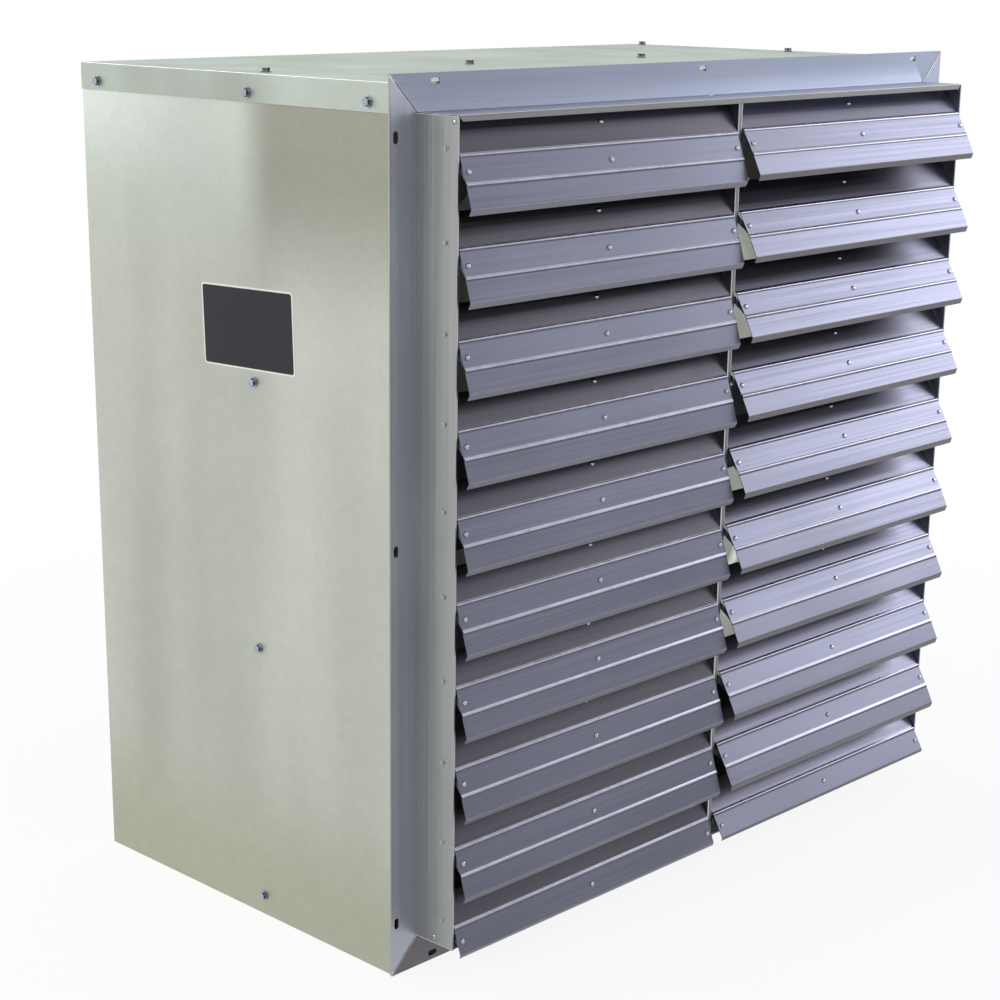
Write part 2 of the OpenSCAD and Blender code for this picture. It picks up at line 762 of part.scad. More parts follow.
module label_plate() {
    straight_l = label_l/2 - label_corner;
    straight_h = label_h/2 - label_corner;
    color(black) translate([-side_x, -label_ahead, label_z]) rotate([-label_turn, 0, 0]) {
        block([-label_t, -straight_l, -label_h/2], [0, straight_l, label_h/2]);
        block([-label_t, -label_l/2, -straight_h], [0, label_l/2, straight_h]);
        for (s = [-1, 1], t = [-1, 1]) translate([0, s*straight_l, t*straight_h])
            rod_x(-label_t, 0, label_corner);
    }
}

// ---------- shutter frame ----------

// Rail along X with its outer edge on z = 0 and its flange's front face on y = 0
module rail(len, lip) {
    deep = flange_face + frame_sheet;
    end = len/2 - mitre_gap/sqrt(2);
    intersection() {
        union() {
            block([-len/2, 0, -deep], [len/2, frame_sheet, 0]);
            block([-len/2, -neck_depth, -deep], [len/2, frame_sheet, -flange_face]);
            if (lip > 0) block([-len/2, -neck_depth, -flange_face - lip],
                [len/2, -neck_depth + frame_sheet, -flange_face]);
        }
        rotate([90, 0, 0]) translate([0, 0, -2*frame_sheet])
            linear_extrude(height = neck_depth + 4*frame_sheet)
            polygon([[-end, 0], [end, 0], [end - 2*deep, -2*deep], [-end + 2*deep, -2*deep]]);
    }
}

// Tabs of the top rail that turn down inside the side rails
module top_tabs() {
    z = neck_top - frame_sheet;
    for (s = [0, 1]) mirror([s, 0, 0]) block(
        [neck_side - frame_sheet - tab_t - seat_gap, mullion_y, z - tab_h],
        [neck_side - frame_sheet - seat_gap, mullion_y + tab_w, z]);
}

// Tabs of the bottom rail that turn up inside the side rails
module foot_tabs() {
    z = flange_face + frame_sheet;
    for (s = [0, 1]) mirror([s, 0, 0]) block(
        [neck_side - frame_sheet - tab_t - seat_gap, foot_tab_y - foot_tab/2, z],
        [neck_side - frame_sheet - seat_gap, foot_tab_y + foot_tab/2, z + foot_tab]);
}

module shutter_rail_top() {
    color(aluminium) difference() {
        union() {
            translate([0, flange_y, shutter_h]) rail(shutter_w, rail_lip_h);
            top_tabs();
        }
        at_level_slots(1) slot(slot_len, slot_w, 3*frame_sheet);
        for (s = [-1, 1]) at_rail_rivets(s) rivet_hole();
        translate([0, rail_rivet_y, neck_top]) rivet_hole();
    }
}

module shutter_rail_bottom() {
    color(aluminium) difference() {
        union() {
            translate([0, flange_y, 0]) mirror([0, 0, 1]) rail(shutter_w, 0);
            foot_tabs();
        }
        block([-shutter_w/2, neck_y - eps, 0],
            [shutter_w/2, neck_y + sill_back, flange_face + 2*frame_sheet]);
        at_level_slots(0) slot(slot_len, slot_w, 3*frame_sheet);
        for (s = [-1, 1]) at_rail_rivets(s) rivet_hole();
        translate([0, rail_rivet_y, flange_face]) rivet_hole();
    }
}

module shutter_rail_side(side) {
    color(aluminium) difference() {
        translate([side*shutter_w/2, flange_y, shutter_h/2]) rotate([0, side*90, 0])
            rail(shutter_h, 0);
        at_flange_slots(side) slot(slot_len, slot_w, 3*frame_sheet);
        at_rail_rivets(side) rivet_hole();
        at_pivots() rod_x(side > 0 ? neck_side - 2*frame_sheet : -neck_side - frame_sheet,
            side > 0 ? neck_side + frame_sheet : -neck_side + 2*frame_sheet, pin_r + pin_play);
    }
}

module shutter_rail_left() { shutter_rail_side(-1); }

module shutter_rail_right() { shutter_rail_side(1); }

module shutter_mullion() {
    x = mullion_w/2;
    z0 = flange_face + frame_sheet + seat_gap;
    z1 = neck_top - frame_sheet - seat_gap;
    y0 = mullion_y + seat_gap;
    y1 = y0 + mullion_d;
    tab_y = rail_rivet_y - mullion_tab_ahead;
    color(aluminium) difference() {
        union() {
            block([-x, y0, z0], [x, y0 + mullion_sheet, z1]);
            for (s = [0, 1]) mirror([s, 0, 0])
                block([x - mullion_sheet, y0, z0], [x, y1, z1]);
            block([-x, tab_y, z0], [x, y1, z0 + mullion_sheet]);
            block([-x, tab_y, z1 - mullion_sheet], [x, y1, z1]);
        }
        at_pivots() rod_x(-mullion_w, mullion_w, pin_r + pin_play);
        translate([0, rail_rivet_y, neck_top]) rivet_hole();
        translate([0, rail_rivet_y, flange_face]) rivet_hole();
    }
}

module rivet_hole() {
    cylinder(h = 8*frame_sheet, r = rivet_r + fit_play/2, center = true);
}

module frame_rivets() {
    grip = frame_sheet + tab_t + seat_gap;
    mullion_grip = frame_sheet + mullion_sheet + seat_gap;
    color(zinc) {
        for (s = [-1, 1]) at_rail_rivets(s) rivet(grip);
        translate([0, rail_rivet_y, neck_top]) rivet(mullion_grip);
        translate([0, rail_rivet_y, flange_face]) mirror([0, 0, 1]) rivet(mullion_grip);
    }
}

// Weld studs and their nuts
module shutter_studs() {
    nut_z = cab_sheet + seat_gap;
    color(zinc) at_shutter_studs() {
        cylinder(h = nut_z + screw_hex_h + 3, r = screw_r - fit_play/2);
        translate([0, 0, nut_z]) difference() {
            union() {
                cylinder(h = screw_washer_t, r = screw_washer_r);
                cylinder(h = screw_washer_t + screw_hex_h, d = screw_hex_d, $fn = 6);
            }
            translate([0, 0, -eps]) cylinder(h = 3*screw_hex_h, r = screw_r);
        }
    }
}

// ---------- shutter blades ----------

function unit(v) = v/norm(v);
function normal(v) = [v[1], -v[0]];
// Outward direction at point i of a path, lengthened so that both faces keep their distance
function mitre(path, i) =
    let (a = normal(unit(path[max(i, 1)] - path[max(i, 1) - 1])),
         j = min(i, len(path) - 2),
         b = normal(unit(path[j + 1] - path[j])))
    (a + b)/(1 + a*b);
function shifted(path, d) = [for (i = [0:len(path) - 1]) path[i] + d*mitre(path, i)];
function reversed(path) = [for (i = [len(path) - 1:-1:0]) path[i]];
// Section points are [in front, below]; drawing wants [in front, up]
function up(path) = [for (p = path) [p[0], -p[1]]];

// A sheet of thickness t whose middle follows a path
module sheet_section(path, t) {
    polygon(up(concat(shifted(path, t/2), reversed(shifted(path, -t/2)))));
}

// Middle line of a foot that lies behind a blade's facets
function behind(path) = shifted(path, -(blade_sheet + bracket_t)/2 - seat_gap);
function middle_foot(below) = behind([step(ridge_1, rivet_drop - foot_above, middle_tilt),
    step(ridge_1, rivet_drop + below, middle_tilt)]);
upper_foot = behind([step(top_edge, rivet_upper - upper_foot_half, upper_tilt),
    step(top_edge, rivet_upper + upper_foot_half, upper_tilt)]);
middle_rivet = step(ridge_1, rivet_drop, middle_tilt);
upper_rivet = step(top_edge, rivet_upper, upper_tilt);

// Puts a rivet or its hole on a facet's front face
module on_facet(p, tilt, x) {
    front = p + (blade_sheet/2 + seat_gap)*out(tilt);
    translate([x, -front[0], -front[1]]) rotate([90 - tilt, 0, 0]) children();
}

module at_blade_rivets() {
    for (s = [-1, 1]) on_facet(middle_rivet, middle_tilt, s*(blade_len/2 - rivet_inset))
        children();
    on_facet(middle_rivet, middle_tilt, 0) children();
    on_facet(upper_rivet, upper_tilt, 0) children();
}

// Line inside a foot, shorter than the foot at both ends
function inside(foot) = [step_to(foot[0], foot[1]), step_to(foot[1], foot[0])];
function step_to(a, b) = a + ear_inset*unit(b - a);

// Ear with a round end at a pin, widening to a line on the feet that runs from its lower end
module ear(pin, line) {
    lower = line[0];
    upper = line[len(line) - 1];
    translate([pin[0], -pin[1]]) circle(r = ear_r);
    polygon(up(concat([pin - ear_root*normal(unit(lower - pin))], line,
        [pin + ear_root*normal(unit(upper - pin))])));
}

// Bracket at a blade's end: foot, ear and pivot pin. side is the end it sits at.
module end_bracket(side, reach, foot) {
    x_ear = blade_len/2 - bracket_t/2;
    difference() {
        union() {
            translate([side*(blade_len/2 - foot_w/2), 0, 0]) along_x(foot_w)
                sheet_section(foot, bracket_t);
            translate([side*x_ear, 0, 0]) along_x(bracket_t)
                ear([0, 0], reversed(inside(foot)));
            if (side > 0) rod_x(blade_len/2 - bracket_t, blade_len/2 + reach, pin_r);
            else rod_x(-blade_len/2 - reach, -blade_len/2 + bracket_t, pin_r);
        }
        at_blade_rivets() blade_rivet_hole();
    }
}

// Bracket at the blade's middle: two feet, ear and tie pin
module tie_bracket(lower_foot) {
    pin_len = tie_play + tie_t + tie_play;
    difference() {
        union() {
            for (foot = [lower_foot, upper_foot])
                along_x(foot_w) sheet_section(foot, bracket_t);
            translate([(foot_w - bracket_t)/2, 0, 0]) along_x(bracket_t)
                ear(tie_pin, reversed(concat(inside(upper_foot), inside(lower_foot))));
            translate([foot_w/2, tie_back, tie_up]) {
                rod_x(-eps, pin_len, tie_pin_r);
                rod_x(pin_len, pin_len + bracket_t, 1.5*tie_pin_r);
            }
        }
        at_blade_rivets() blade_rivet_hole();
    }
}

module blade_rivet_hole() {
    cylinder(h = 6*(blade_sheet + bracket_t), r = rivet_r + fit_play/2, center = true);
}

// One blade, closed, with its pivot on the origin. foot is the middle line of its brackets' lower
// feet, and out_side is where the frame's rail is.
module blade_parts(path, foot, out_side) {
    rail_reach = blade_gap + frame_sheet + pin_out;
    mullion_reach = blade_gap + mullion_sheet + pin_past_mullion;
    difference() {
        along_x(blade_len) sheet_section(path, blade_sheet);
        at_blade_rivets() blade_rivet_hole();
    }
    end_bracket(out_side, rail_reach, foot);
    end_bracket(-out_side, mullion_reach, foot);
    tie_bracket(foot);
    at_blade_rivets() rivet(blade_sheet + bracket_t + 3*seat_gap);
}

module blade(side, row) {
    open = side < 0 ? rest_left : rest_right;
    last = row == blade_rows;
    color(aluminium)
        translate([side*column_x, pivot_y, neck_top - pivot_drop - (row - 1)*blade_pitch])
        rotate([-open, 0, 0]) blade_parts(last ? last_path : blade_path,
            middle_foot(last ? last_foot_below : foot_below), side);
}

module tie_bar(side) {
    open = side < 0 ? rest_left : rest_right;
    // Place of the first tie pin at rest, from the first pivot, as [in front, up]
    pin = [tie_pin[0]*cos(open) + tie_pin[1]*sin(open), tie_pin[0]*sin(open) - tie_pin[1]*cos(open)];
    top = neck_top - pivot_drop + pin[1];
    x0 = side*column_x + foot_w/2 + tie_play;
    color(aluminium) difference() {
        block([x0, pivot_y - pin[0] - tie_w/2, top - (blade_rows - 1)*blade_pitch - tie_end],
            [x0 + tie_t, pivot_y - pin[0] + tie_w/2, top + tie_end]);
        for (i = [0:blade_rows - 1])
            translate([0, pivot_y - pin[0], top - i*blade_pitch])
                rod_x(x0 - eps, x0 + tie_t + eps, tie_pin_r + pin_play);
    }
}

module tie_bar_left() { tie_bar(-1); }

module tie_bar_right() { tie_bar(1); }

// ---------- drive frame and bearings ----------

module at_post_bolts() {
    for (s = [-1, 1], z = [post_foot + post_bolt_end, post_top - post_bolt_end])
        translate([s*(post_half + post_flange/2), orifice_y + post_t, z])
            rotate([-90, 0, 0]) children();
}

// Bolts through a shelf's side flange and a post, from inside the shelf
module at_shelf_bolts(side, z) {
    for (i = [-1, 1])
        translate([side*(post_half - post_t - seat_gap), shelf_bolt_y + i*shelf_bolt_pitch/2, z])
            face_side(-side) children();
}

module drive_post(side) {
    x0 = post_half;
    color(galvanised) difference() {
        mirror([side < 0 ? 1 : 0, 0, 0]) {
            block([x0, orifice_y, post_foot], [x0 + post_t, orifice_y + post_d, post_top]);
            for (y = [orifice_y, orifice_y + post_d - post_t])
                block([x0, y, post_foot], [x0 + post_flange, y + post_t, post_top]);
        }
        at_post_bolts() translate([0, 0, -post_t - eps])
            cylinder(h = post_t + 2*eps, r = bolt_r + fit_play);
        for (z = [saddle_z - shelf_bolt_drop, shelf_z - shelf_bolt_drop]) at_shelf_bolts(side, z)
            translate([0, 0, -3*post_t]) cylinder(h = 6*post_t, r = bolt_r + fit_play);
    }
}

module drive_post_left() { drive_post(-1); }

module drive_post_right() { drive_post(1); }

// Shelf between the posts with side flanges turned down
module shelf(z, depth) {
    x = post_half - seat_gap;
    block([-x, shelf_y, z - post_t], [x, shelf_y + depth, z]);
    for (s = [0, 1]) mirror([s, 0, 0])
        block([x - post_t, shelf_y, z - shelf_flange_h], [x, shelf_y + depth, z]);
}

module bearing_saddle() {
    color(galvanised) difference() {
        shelf(saddle_z, saddle_d);
        for (s = [-1, 1]) at_shelf_bolts(s, saddle_z - shelf_bolt_drop)
            translate([0, 0, -3*post_t]) cylinder(h = 6*post_t, r = bolt_r + fit_play);
        at_block_bolts() cylinder(h = 6*post_t, r = bolt_r + fit_play, center = true);
    }
}

module at_block_bolts() {
    for (y = bearing_y, s = [-1, 1]) translate([s*block_bolts/2, y, saddle_z]) children();
}

module pillow_blocks() {
    color(steel) for (y = bearing_y) pillow_block(y);
}

module pillow_block(y) {
    difference() {
        union() {
            block([-block_len/2, y - block_w/2, saddle_z],
                [block_len/2, y + block_w/2, saddle_z + block_foot_t]);
            translate([0, 0, axis_z])
                rod_y(y - block_w/2 + block_relief, y + block_w/2 - block_relief, block_r);
        }
        translate([0, 0, axis_z]) rod_y(y - block_w, y + block_w, insert_r);
        for (s = [-1, 1]) translate([s*block_bolts/2, y, saddle_z])
            cylinder(h = 3*block_foot_t, r = bolt_r + fit_play, center = true);
    }
}

// Outer rings of the two bearing inserts, fixed in the housings
module bearing_rings() {
    color(zinc) for (y = bearing_y) translate([0, 0, axis_z]) difference() {
        rod_y(y - insert_w/2, y + insert_w/2, insert_r - hub_play);
        rod_y(y - insert_w, y + insert_w, race_r);
    }
}

// Inner rings of the bearing inserts, locked on the shaft
module inner_rings() {
    color(zinc) for (y = bearing_y) translate([0, 0, axis_z]) difference() {
        rod_y(y - inner_ring_w/2, y + inner_ring_w/2, race_r - pin_play);
        rod_y(y - inner_ring_w, y + inner_ring_w, shaft_r + hub_play);
    }
}

// ---------- propeller and shaft ----------

// Shaft along Y with chamfered ends
module shaft(y0, y1, r) {
    len = y1 - y0;
    c = shaft_chamfer;
    translate([0, y1, 0]) rotate([90, 0, 0]) rotate_extrude()
        polygon([[0, 0], [r - c, 0], [r, c], [r, len - c], [r - c, len], [0, len]]);
}

module fan_shaft() {
    color(steel) translate([0, 0, axis_z]) shaft(prop_y - hub_len/2 - shaft_past,
        belt_back + sheave_bore_len/2 + shaft_past, shaft_r);
}

// Curved plate of the propeller, hollow towards the front; r is its hollow face's radius
module camber_plate(r, t) {
    translate([0, -prop_camber_r, 0]) difference() {
        rod_x(hub_r - eps, 1.1*prop_r, r + t);
        rod_x(hub_r - 2*eps, 1.2*prop_r, r);
    }
}

// Outline of a propeller blade as [radius, across]
module prop_outline() {
    c = prop_chord/2;
    polygon([[prop_root_r, -0.42*c], [prop_root_r, 0.42*c], [0.45*prop_r, 0.9*c], [0.7*prop_r, c],
        [0.94*prop_r, 0.96*c], [1.02*prop_r, 0.8*c], [1.02*prop_r, -0.7*c], [0.94*prop_r, -0.92*c],
        [0.7*prop_r, -c], [0.45*prop_r, -0.9*c]]);
}

module at_prop_blades() {
    for (i = [0:prop_blades - 1]) translate([0, prop_y, axis_z])
        rotate([0, i*360/prop_blades, 0]) children();
}

module at_arm_rivets() {
    for (r = [prop_root_r + arm_rivet_inset, arm_end - arm_rivet_inset]) rotate([prop_pitch, 0, 0])
        translate([r, 0, 0]) rotate([90, 0, 0]) children();
}

module arm_rivet_hole() {
    cylinder(h = 8*(prop_t + arm_t), r = arm_rivet_r + fit_play/2, center = true);
}

// Rivet through a propeller blade and its arm, headed at both ends
module arm_rivet() {
    back = -arm_t - 2*seat_gap;
    front = prop_t + seat_gap;
    translate([0, 0, back]) cylinder(h = front - back, r = arm_rivet_r);
    translate([0, 0, front]) cylinder(h = arm_rivet_head_h, r = arm_rivet_head_r);
    translate([0, 0, back - arm_rivet_head_h])
        cylinder(h = arm_rivet_head_h, r = arm_rivet_head_r);
}

module fan_blades() {
    color(aluminium) at_prop_blades() difference() {
        intersection() {
            rotate([prop_pitch, 0, 0]) intersection() {
                camber_plate(prop_camber_r - prop_t, prop_t);
                rotate([90, 0, 0]) linear_extrude(height = prop_chord, center = true)
                    prop_outline();
            }
            rod_y(-prop_chord, prop_chord, prop_r);
        }
        at_arm_rivets() arm_rivet_hole();
    }
}

module fan_hub() {
    color(steel) translate([0, prop_y, axis_z]) difference() {
        rod_y(-hub_len/2, hub_len/2, hub_r);
        rod_y(-hub_len, hub_len, shaft_r + hub_play);
    }
}

// Curved arms welded to the hub, each with a root block, and the rivets that hold the blades
module fan_arms() {
    color(steel) at_prop_blades() difference() {
        union() {
            rotate([prop_pitch, 0, 0]) intersection() {
                camber_plate(prop_camber_r + seat_gap, arm_t);
                block([0, -arm_w, -arm_w/2], [arm_end, arm_w, arm_w/2]);
            }
            block([0, -arm_root, -2*arm_root], [hub_r + arm_root_len, arm_root, 2*arm_root]);
        }
        rod_y(-arm_w, arm_w, hub_r + seat_gap);
        at_arm_rivets() arm_rivet_hole();
    }
    color(zinc) at_prop_blades() at_arm_rivets() arm_rivet();
}

// ---------- belt drive ----------

function belt_half(depth) = belt_w/2 - depth*tan(belt_flank);

// Sheave section as [radius, along the shaft], with one groove round pitch radius pr
module sheave_section(pr, bore, hub, len) {
    rim = pr + belt_lift + rim_over;
    foot = pr - groove_r - groove_room;
    mouth = rim + eps;
    function flank(r) = belt_half(pr + belt_lift - r) + belt_play/cos(belt_flank);
    difference() {
        union() {
            translate([pr - rim_depth, -sheave_w/2]) square([rim - pr + rim_depth, sheave_w]);
            translate([bore, -len/2]) square([hub - bore, len]);
            translate([bore, -web_t/2]) square([pr - rim_depth/2 - bore, web_t]);
        }
        polygon([[foot, -flank(foot)], [foot, flank(foot)], [mouth, flank(mouth)],
            [mouth, -flank(mouth)]]);
    }
}

module fan_sheave() {
    color(steel) translate([0, belt_back, axis_z]) rotate([90, 0, 0]) rotate_extrude($fn = 96)
        sheave_section(fan_sheave_r, shaft_r + hub_play, fan_sheave_hub_r, sheave_bore_len);
}

module motor_sheave() {
    color(steel) translate([0, belt_back, motor_z]) rotate([90, 0, 0]) rotate_extrude($fn = 96)
        sheave_section(motor_sheave_r, motor_shaft_r + hub_play, motor_sheave_hub_r, sheave_w);
}

// Belt section at pitch radius pr as [radius, across], taken in by an inset
module belt_section(pr, inset = 0) {
    r0 = pr - groove_r + inset;
    r1 = pr + belt_lift - inset;
    polygon([[r0, inset - belt_half(belt_t)], [r0, belt_half(belt_t) - inset],
        [r1, belt_w/2 - inset], [r1, inset - belt_w/2]]);
}

// The straight runs are a hair thinner than the bends, so that each end lies inside a bend
module drive_belt() {
    lean = asin((fan_sheave_r - motor_sheave_r)/drive_centres);
    run = drive_centres*cos(lean);
    color(black) translate([0, belt_back, 0]) {
        translate([0, 0, axis_z]) rotate([90, 0, 0]) rotate([0, 0, -lean])
            rotate_extrude(angle = 180 + 2*lean, $fn = 96) belt_section(fan_sheave_r);
        translate([0, 0, motor_z]) rotate([90, 0, 0]) rotate([0, 0, 180 + lean])
            rotate_extrude(angle = 180 - 2*lean, $fn = 96) belt_section(motor_sheave_r);
        for (s = [0, 1]) mirror([s, 0, 0]) translate([0, 0, axis_z]) rotate([90, 0, 0])
            rotate([0, 0, -lean]) rotate([90, 0, 0]) translate([0, 0, -eps])
            linear_extrude(height = run + 2*eps) belt_section(fan_sheave_r, belt_inset);
    }
}

// ---------- motor ----------

module at_motor_bolts() {
    for (x = [-1, 1], y = [-1, 1])
        translate([x*motor_bolts_x/2, motor_mid + y*motor_bolts_y/2, shelf_z]) children();
}

module motor_shelf() {
    depth = motor_back - shelf_y;
    color(galvanised) difference() {
        shelf(shelf_z, depth);
        for (s = [-1, 1]) at_shelf_bolts(s, shelf_z - shelf_bolt_drop)
            slot(tension_slot, 2*(bolt_r + slot_play), 3*post_t);
        at_motor_bolts() cylinder(h = 6*post_t, r = bolt_r + fit_play, center = true);
    }
}

module motor_foot() {
    y0 = motor_front + motor_bell_t;
    y1 = motor_back - motor_bell_t;
    x = motor_bolts_x/2 + foot_past_bolt;
    color(motor_paint) difference() {
        union() {
            block([-x, y0, shelf_z], [x, y1, shelf_z + motor_foot_t]);
            for (s = [0, 1]) mirror([s, 0, 0])
                block([foot_leg_x, y0, shelf_z], [foot_leg_x + foot_leg_t, y1, motor_z]);
        }
        translate([0, 0, motor_z]) rod_y(y0 - eps, y1 + eps, motor_r);
        at_motor_bolts() cylinder(h = 6*motor_foot_t, r = bolt_r + fit_play, center = true);
    }
}

module motor_shell() {
    color(motor_paint) translate([0, 0, motor_z]) difference() {
        rod_y(motor_front + motor_bell_t, motor_back - motor_bell_t, motor_r);
        rod_y(motor_front, motor_back, motor_r - motor_shell_t);
    }
}

// One end bell from its open face at y = 0 to its outer face at y = motor_bell_t
module end_bell() {
    difference() {
        union() {
            rod_y(0, motor_bell_t, motor_r);
            rod_y(-bell_boss_r/2, motor_bell_t, bell_boss_r);
        }
        difference() {
            rod_y(-eps, motor_bell_t - bell_wall, motor_r - bell_wall);
            rod_y(-bell_boss_r, motor_bell_t, bell_boss_r);
        }
        rod_y(-bell_boss_r, motor_bell_t + eps, motor_shaft_r + pin_play);
        for (i = [0:bell_holes - 1]) rotate([0, (i + 0.5)*360/bell_holes, 0])
            translate([bell_hole_ring, 0, 0]) rod_y(0, motor_bell_t + eps, bell_hole_r);
    }
}

module motor_end_bells() {
    color(motor_paint) translate([0, 0, motor_z]) {
        translate([0, motor_back - motor_bell_t, 0]) end_bell();
        translate([0, motor_front + motor_bell_t, 0]) mirror([0, 1, 0]) end_bell();
    }
}

module motor_stator() {
    color(steel) translate([0, motor_mid, motor_z]) difference() {
        rod_y(-stator_half, stator_half, motor_r - motor_shell_t - seat_gap);
        rod_y(-stator_half - eps, stator_half + eps, stator_r);
    }
}

module motor_shaft() {
    color(steel) translate([0, 0, motor_z]) shaft(motor_front + motor_bell_t/2,
        belt_back + sheave_w/2 + shaft_past, motor_shaft_r);
}

module motor_rotor_core() {
    color(steel) translate([0, motor_mid, motor_z]) difference() {
        rod_y(-stator_half, stator_half, stator_r - air_gap);
        rod_y(-stator_half - eps, stator_half + eps, motor_shaft_r + hub_play);
    }
}

module junction_box() {
    y = motor_mid + jbox_back;
    x0 = sqrt(motor_r^2 - jbox_h^2/4) - eps;
    x1 = motor_r + jbox_d;
    color(motor_paint) translate([0, 0, motor_z]) difference() {
        block([x0, y - jbox_w/2, -jbox_h/2], [x1, y + jbox_w/2, jbox_h/2]);
        block([motor_r + jbox_t, y - jbox_w/2 + jbox_t, jbox_t - jbox_h/2],
            [x1 - jbox_t, y + jbox_w/2 - jbox_t, jbox_h/2 - jbox_t]);
        rod_y(y - jbox_w, y + jbox_w, motor_r + seat_gap);
        translate([motor_r + jbox_d/2, y, -jbox_h/2 - eps])
            cylinder(h = jbox_t + 2*eps, r = knockout_r);
    }
}

module drive_bolts() {
    color(zinc) {
        at_post_bolts() bolt(post_t + cab_sheet + bolt_head_h);
        for (s = [-1, 1], z = [saddle_z - shelf_bolt_drop, shelf_z - shelf_bolt_drop]) at_shelf_bolts(s, z)
            bolt(2*post_t + seat_gap + bolt_head_h);
        translate([0, 0, block_foot_t]) at_block_bolts()
            bolt(block_foot_t + post_t + bolt_head_h);
        translate([0, 0, motor_foot_t]) at_motor_bolts()
            bolt(motor_foot_t + post_t + bolt_head_h);
    }
}

side_panel_left();
side_panel_right();
top_panel();
bottom_panel();
orifice_panel();
throat_ring();
inlet_guard();
label_plate();
panel_screws();
shutter_rail_top();
shutter_rail_bottom();
shutter_rail_left();
shutter_rail_right();
shutter_mullion();
frame_rivets();
shutter_studs();
for (i = [1:blade_rows]) {
    blade(-1, i);
    blade(1, i);
}
tie_bar_left();
tie_bar_right();
drive_post_left();
drive_post_right();
bearing_saddle();
pillow_blocks();
bearing_rings();
inner_rings();
fan_shaft();
fan_hub();
fan_arms();
fan_blades();
fan_sheave();
drive_belt();
motor_shelf();
drive_bolts();
motor_shell();
motor_end_bells();
motor_stator();
motor_foot();
motor_shaft();
motor_rotor_core();
motor_sheave();
junction_box();
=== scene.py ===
"""Looks of the cabinet fan: materials, fine sheet-metal pieces, light and the photograph's camera."""

import json
import math

import bmesh
import bpy
from mathutils import Matrix, Vector

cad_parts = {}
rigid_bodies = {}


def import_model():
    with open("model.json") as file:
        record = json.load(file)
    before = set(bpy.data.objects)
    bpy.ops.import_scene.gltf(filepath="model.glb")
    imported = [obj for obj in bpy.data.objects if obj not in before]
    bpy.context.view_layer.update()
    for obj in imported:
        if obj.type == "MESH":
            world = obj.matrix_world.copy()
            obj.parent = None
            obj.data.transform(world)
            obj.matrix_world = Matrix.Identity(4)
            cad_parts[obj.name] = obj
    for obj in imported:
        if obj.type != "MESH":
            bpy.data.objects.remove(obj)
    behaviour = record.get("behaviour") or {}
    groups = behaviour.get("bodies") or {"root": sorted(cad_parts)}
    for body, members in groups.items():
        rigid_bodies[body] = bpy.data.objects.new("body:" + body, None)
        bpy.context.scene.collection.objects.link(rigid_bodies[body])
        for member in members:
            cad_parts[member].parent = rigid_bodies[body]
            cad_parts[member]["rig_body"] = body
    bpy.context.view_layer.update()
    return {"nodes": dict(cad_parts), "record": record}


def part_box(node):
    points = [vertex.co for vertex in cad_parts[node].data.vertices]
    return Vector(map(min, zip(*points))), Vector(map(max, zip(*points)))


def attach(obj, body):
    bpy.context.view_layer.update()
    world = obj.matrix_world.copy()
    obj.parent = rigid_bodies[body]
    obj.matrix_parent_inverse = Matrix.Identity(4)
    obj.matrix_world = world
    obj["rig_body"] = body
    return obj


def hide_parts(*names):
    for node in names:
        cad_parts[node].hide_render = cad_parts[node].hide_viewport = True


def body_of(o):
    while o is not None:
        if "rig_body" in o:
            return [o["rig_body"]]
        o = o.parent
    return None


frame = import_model()

MM = 0.001

# ---------- camera: the photograph's viewpoint ----------

IMAGE = 1000.0                        # pixels across the photograph
CAMERA_AT = Vector((-2.1237, -1.9809, 1.1874))
CAMERA_YAW = 45.46
CAMERA_PITCH = -16.45
CAMERA_ROLL = 0.54
FOCAL_PIXELS = 2108.36
CENTRE_X, CENTRE_Y = 472.7, 581.2     # where the lens's axis meets the picture, in pixels
SENSOR = 36.0


def add_camera():
    yaw, pitch, roll = (math.radians(a) for a in (CAMERA_YAW, CAMERA_PITCH, CAMERA_ROLL))
    ahead = Vector((math.sin(yaw) * math.cos(pitch), math.cos(yaw) * math.cos(pitch), math.sin(pitch)))
    right = Vector((math.cos(yaw), -math.sin(yaw), 0.0))
    up = right.cross(ahead)
    right, up = (math.cos(roll) * right + math.sin(roll) * up,
                 math.cos(roll) * up - math.sin(roll) * right)
    data = bpy.data.cameras.new("camera")
    data.sensor_width = SENSOR
    data.lens = SENSOR * FOCAL_PIXELS / IMAGE
    data.shift_x = 0.5 - CENTRE_X / IMAGE
    data.shift_y = CENTRE_Y / IMAGE - 0.5
    camera = bpy.data.objects.new("camera", data)
    axes = Matrix((right, up, -ahead)).transposed()
    camera.matrix_world = Matrix.Translation(CAMERA_AT) @ axes.to_4x4()
    bpy.context.collection.objects.link(camera)
    bpy.context.scene.camera = camera


# ---------- materials ----------

def new_material(name, colour, metallic, roughness):
    """A named Principled material with plain values, its tree and its shader node."""
    material = bpy.data.materials.new(name)
    material.use_nodes = True
    tree = material.node_tree
    shader = tree.nodes["Principled BSDF"]
    shader.inputs["Base Color"].default_value = (*colour, 1.0)
    shader.inputs["Metallic"].default_value = metallic
    shader.inputs["Roughness"].default_value = roughness
    return material, tree, shader


UNSTRETCHED = (1.0, 1.0, 1.0)


def coordinates(tree, scale):
    """Object coordinates stretched by scale along X, Y and Z."""
    where = tree.nodes.new("ShaderNodeTexCoord")
    mapping = tree.nodes.new("ShaderNodeMapping")
    mapping.inputs["Scale"].default_value = scale
    tree.links.new(where.outputs["Object"], mapping.inputs["Vector"])
    return mapping.outputs["Vector"]


def noise(tree, scale, frequency, detail=2.0):
    node = tree.nodes.new("ShaderNodeTexNoise")
    node.inputs["Scale"].default_value = frequency
    node.inputs["Detail"].default_value = detail
    tree.links.new(coordinates(tree, scale), node.inputs["Vector"])
    return node.outputs["Fac"]


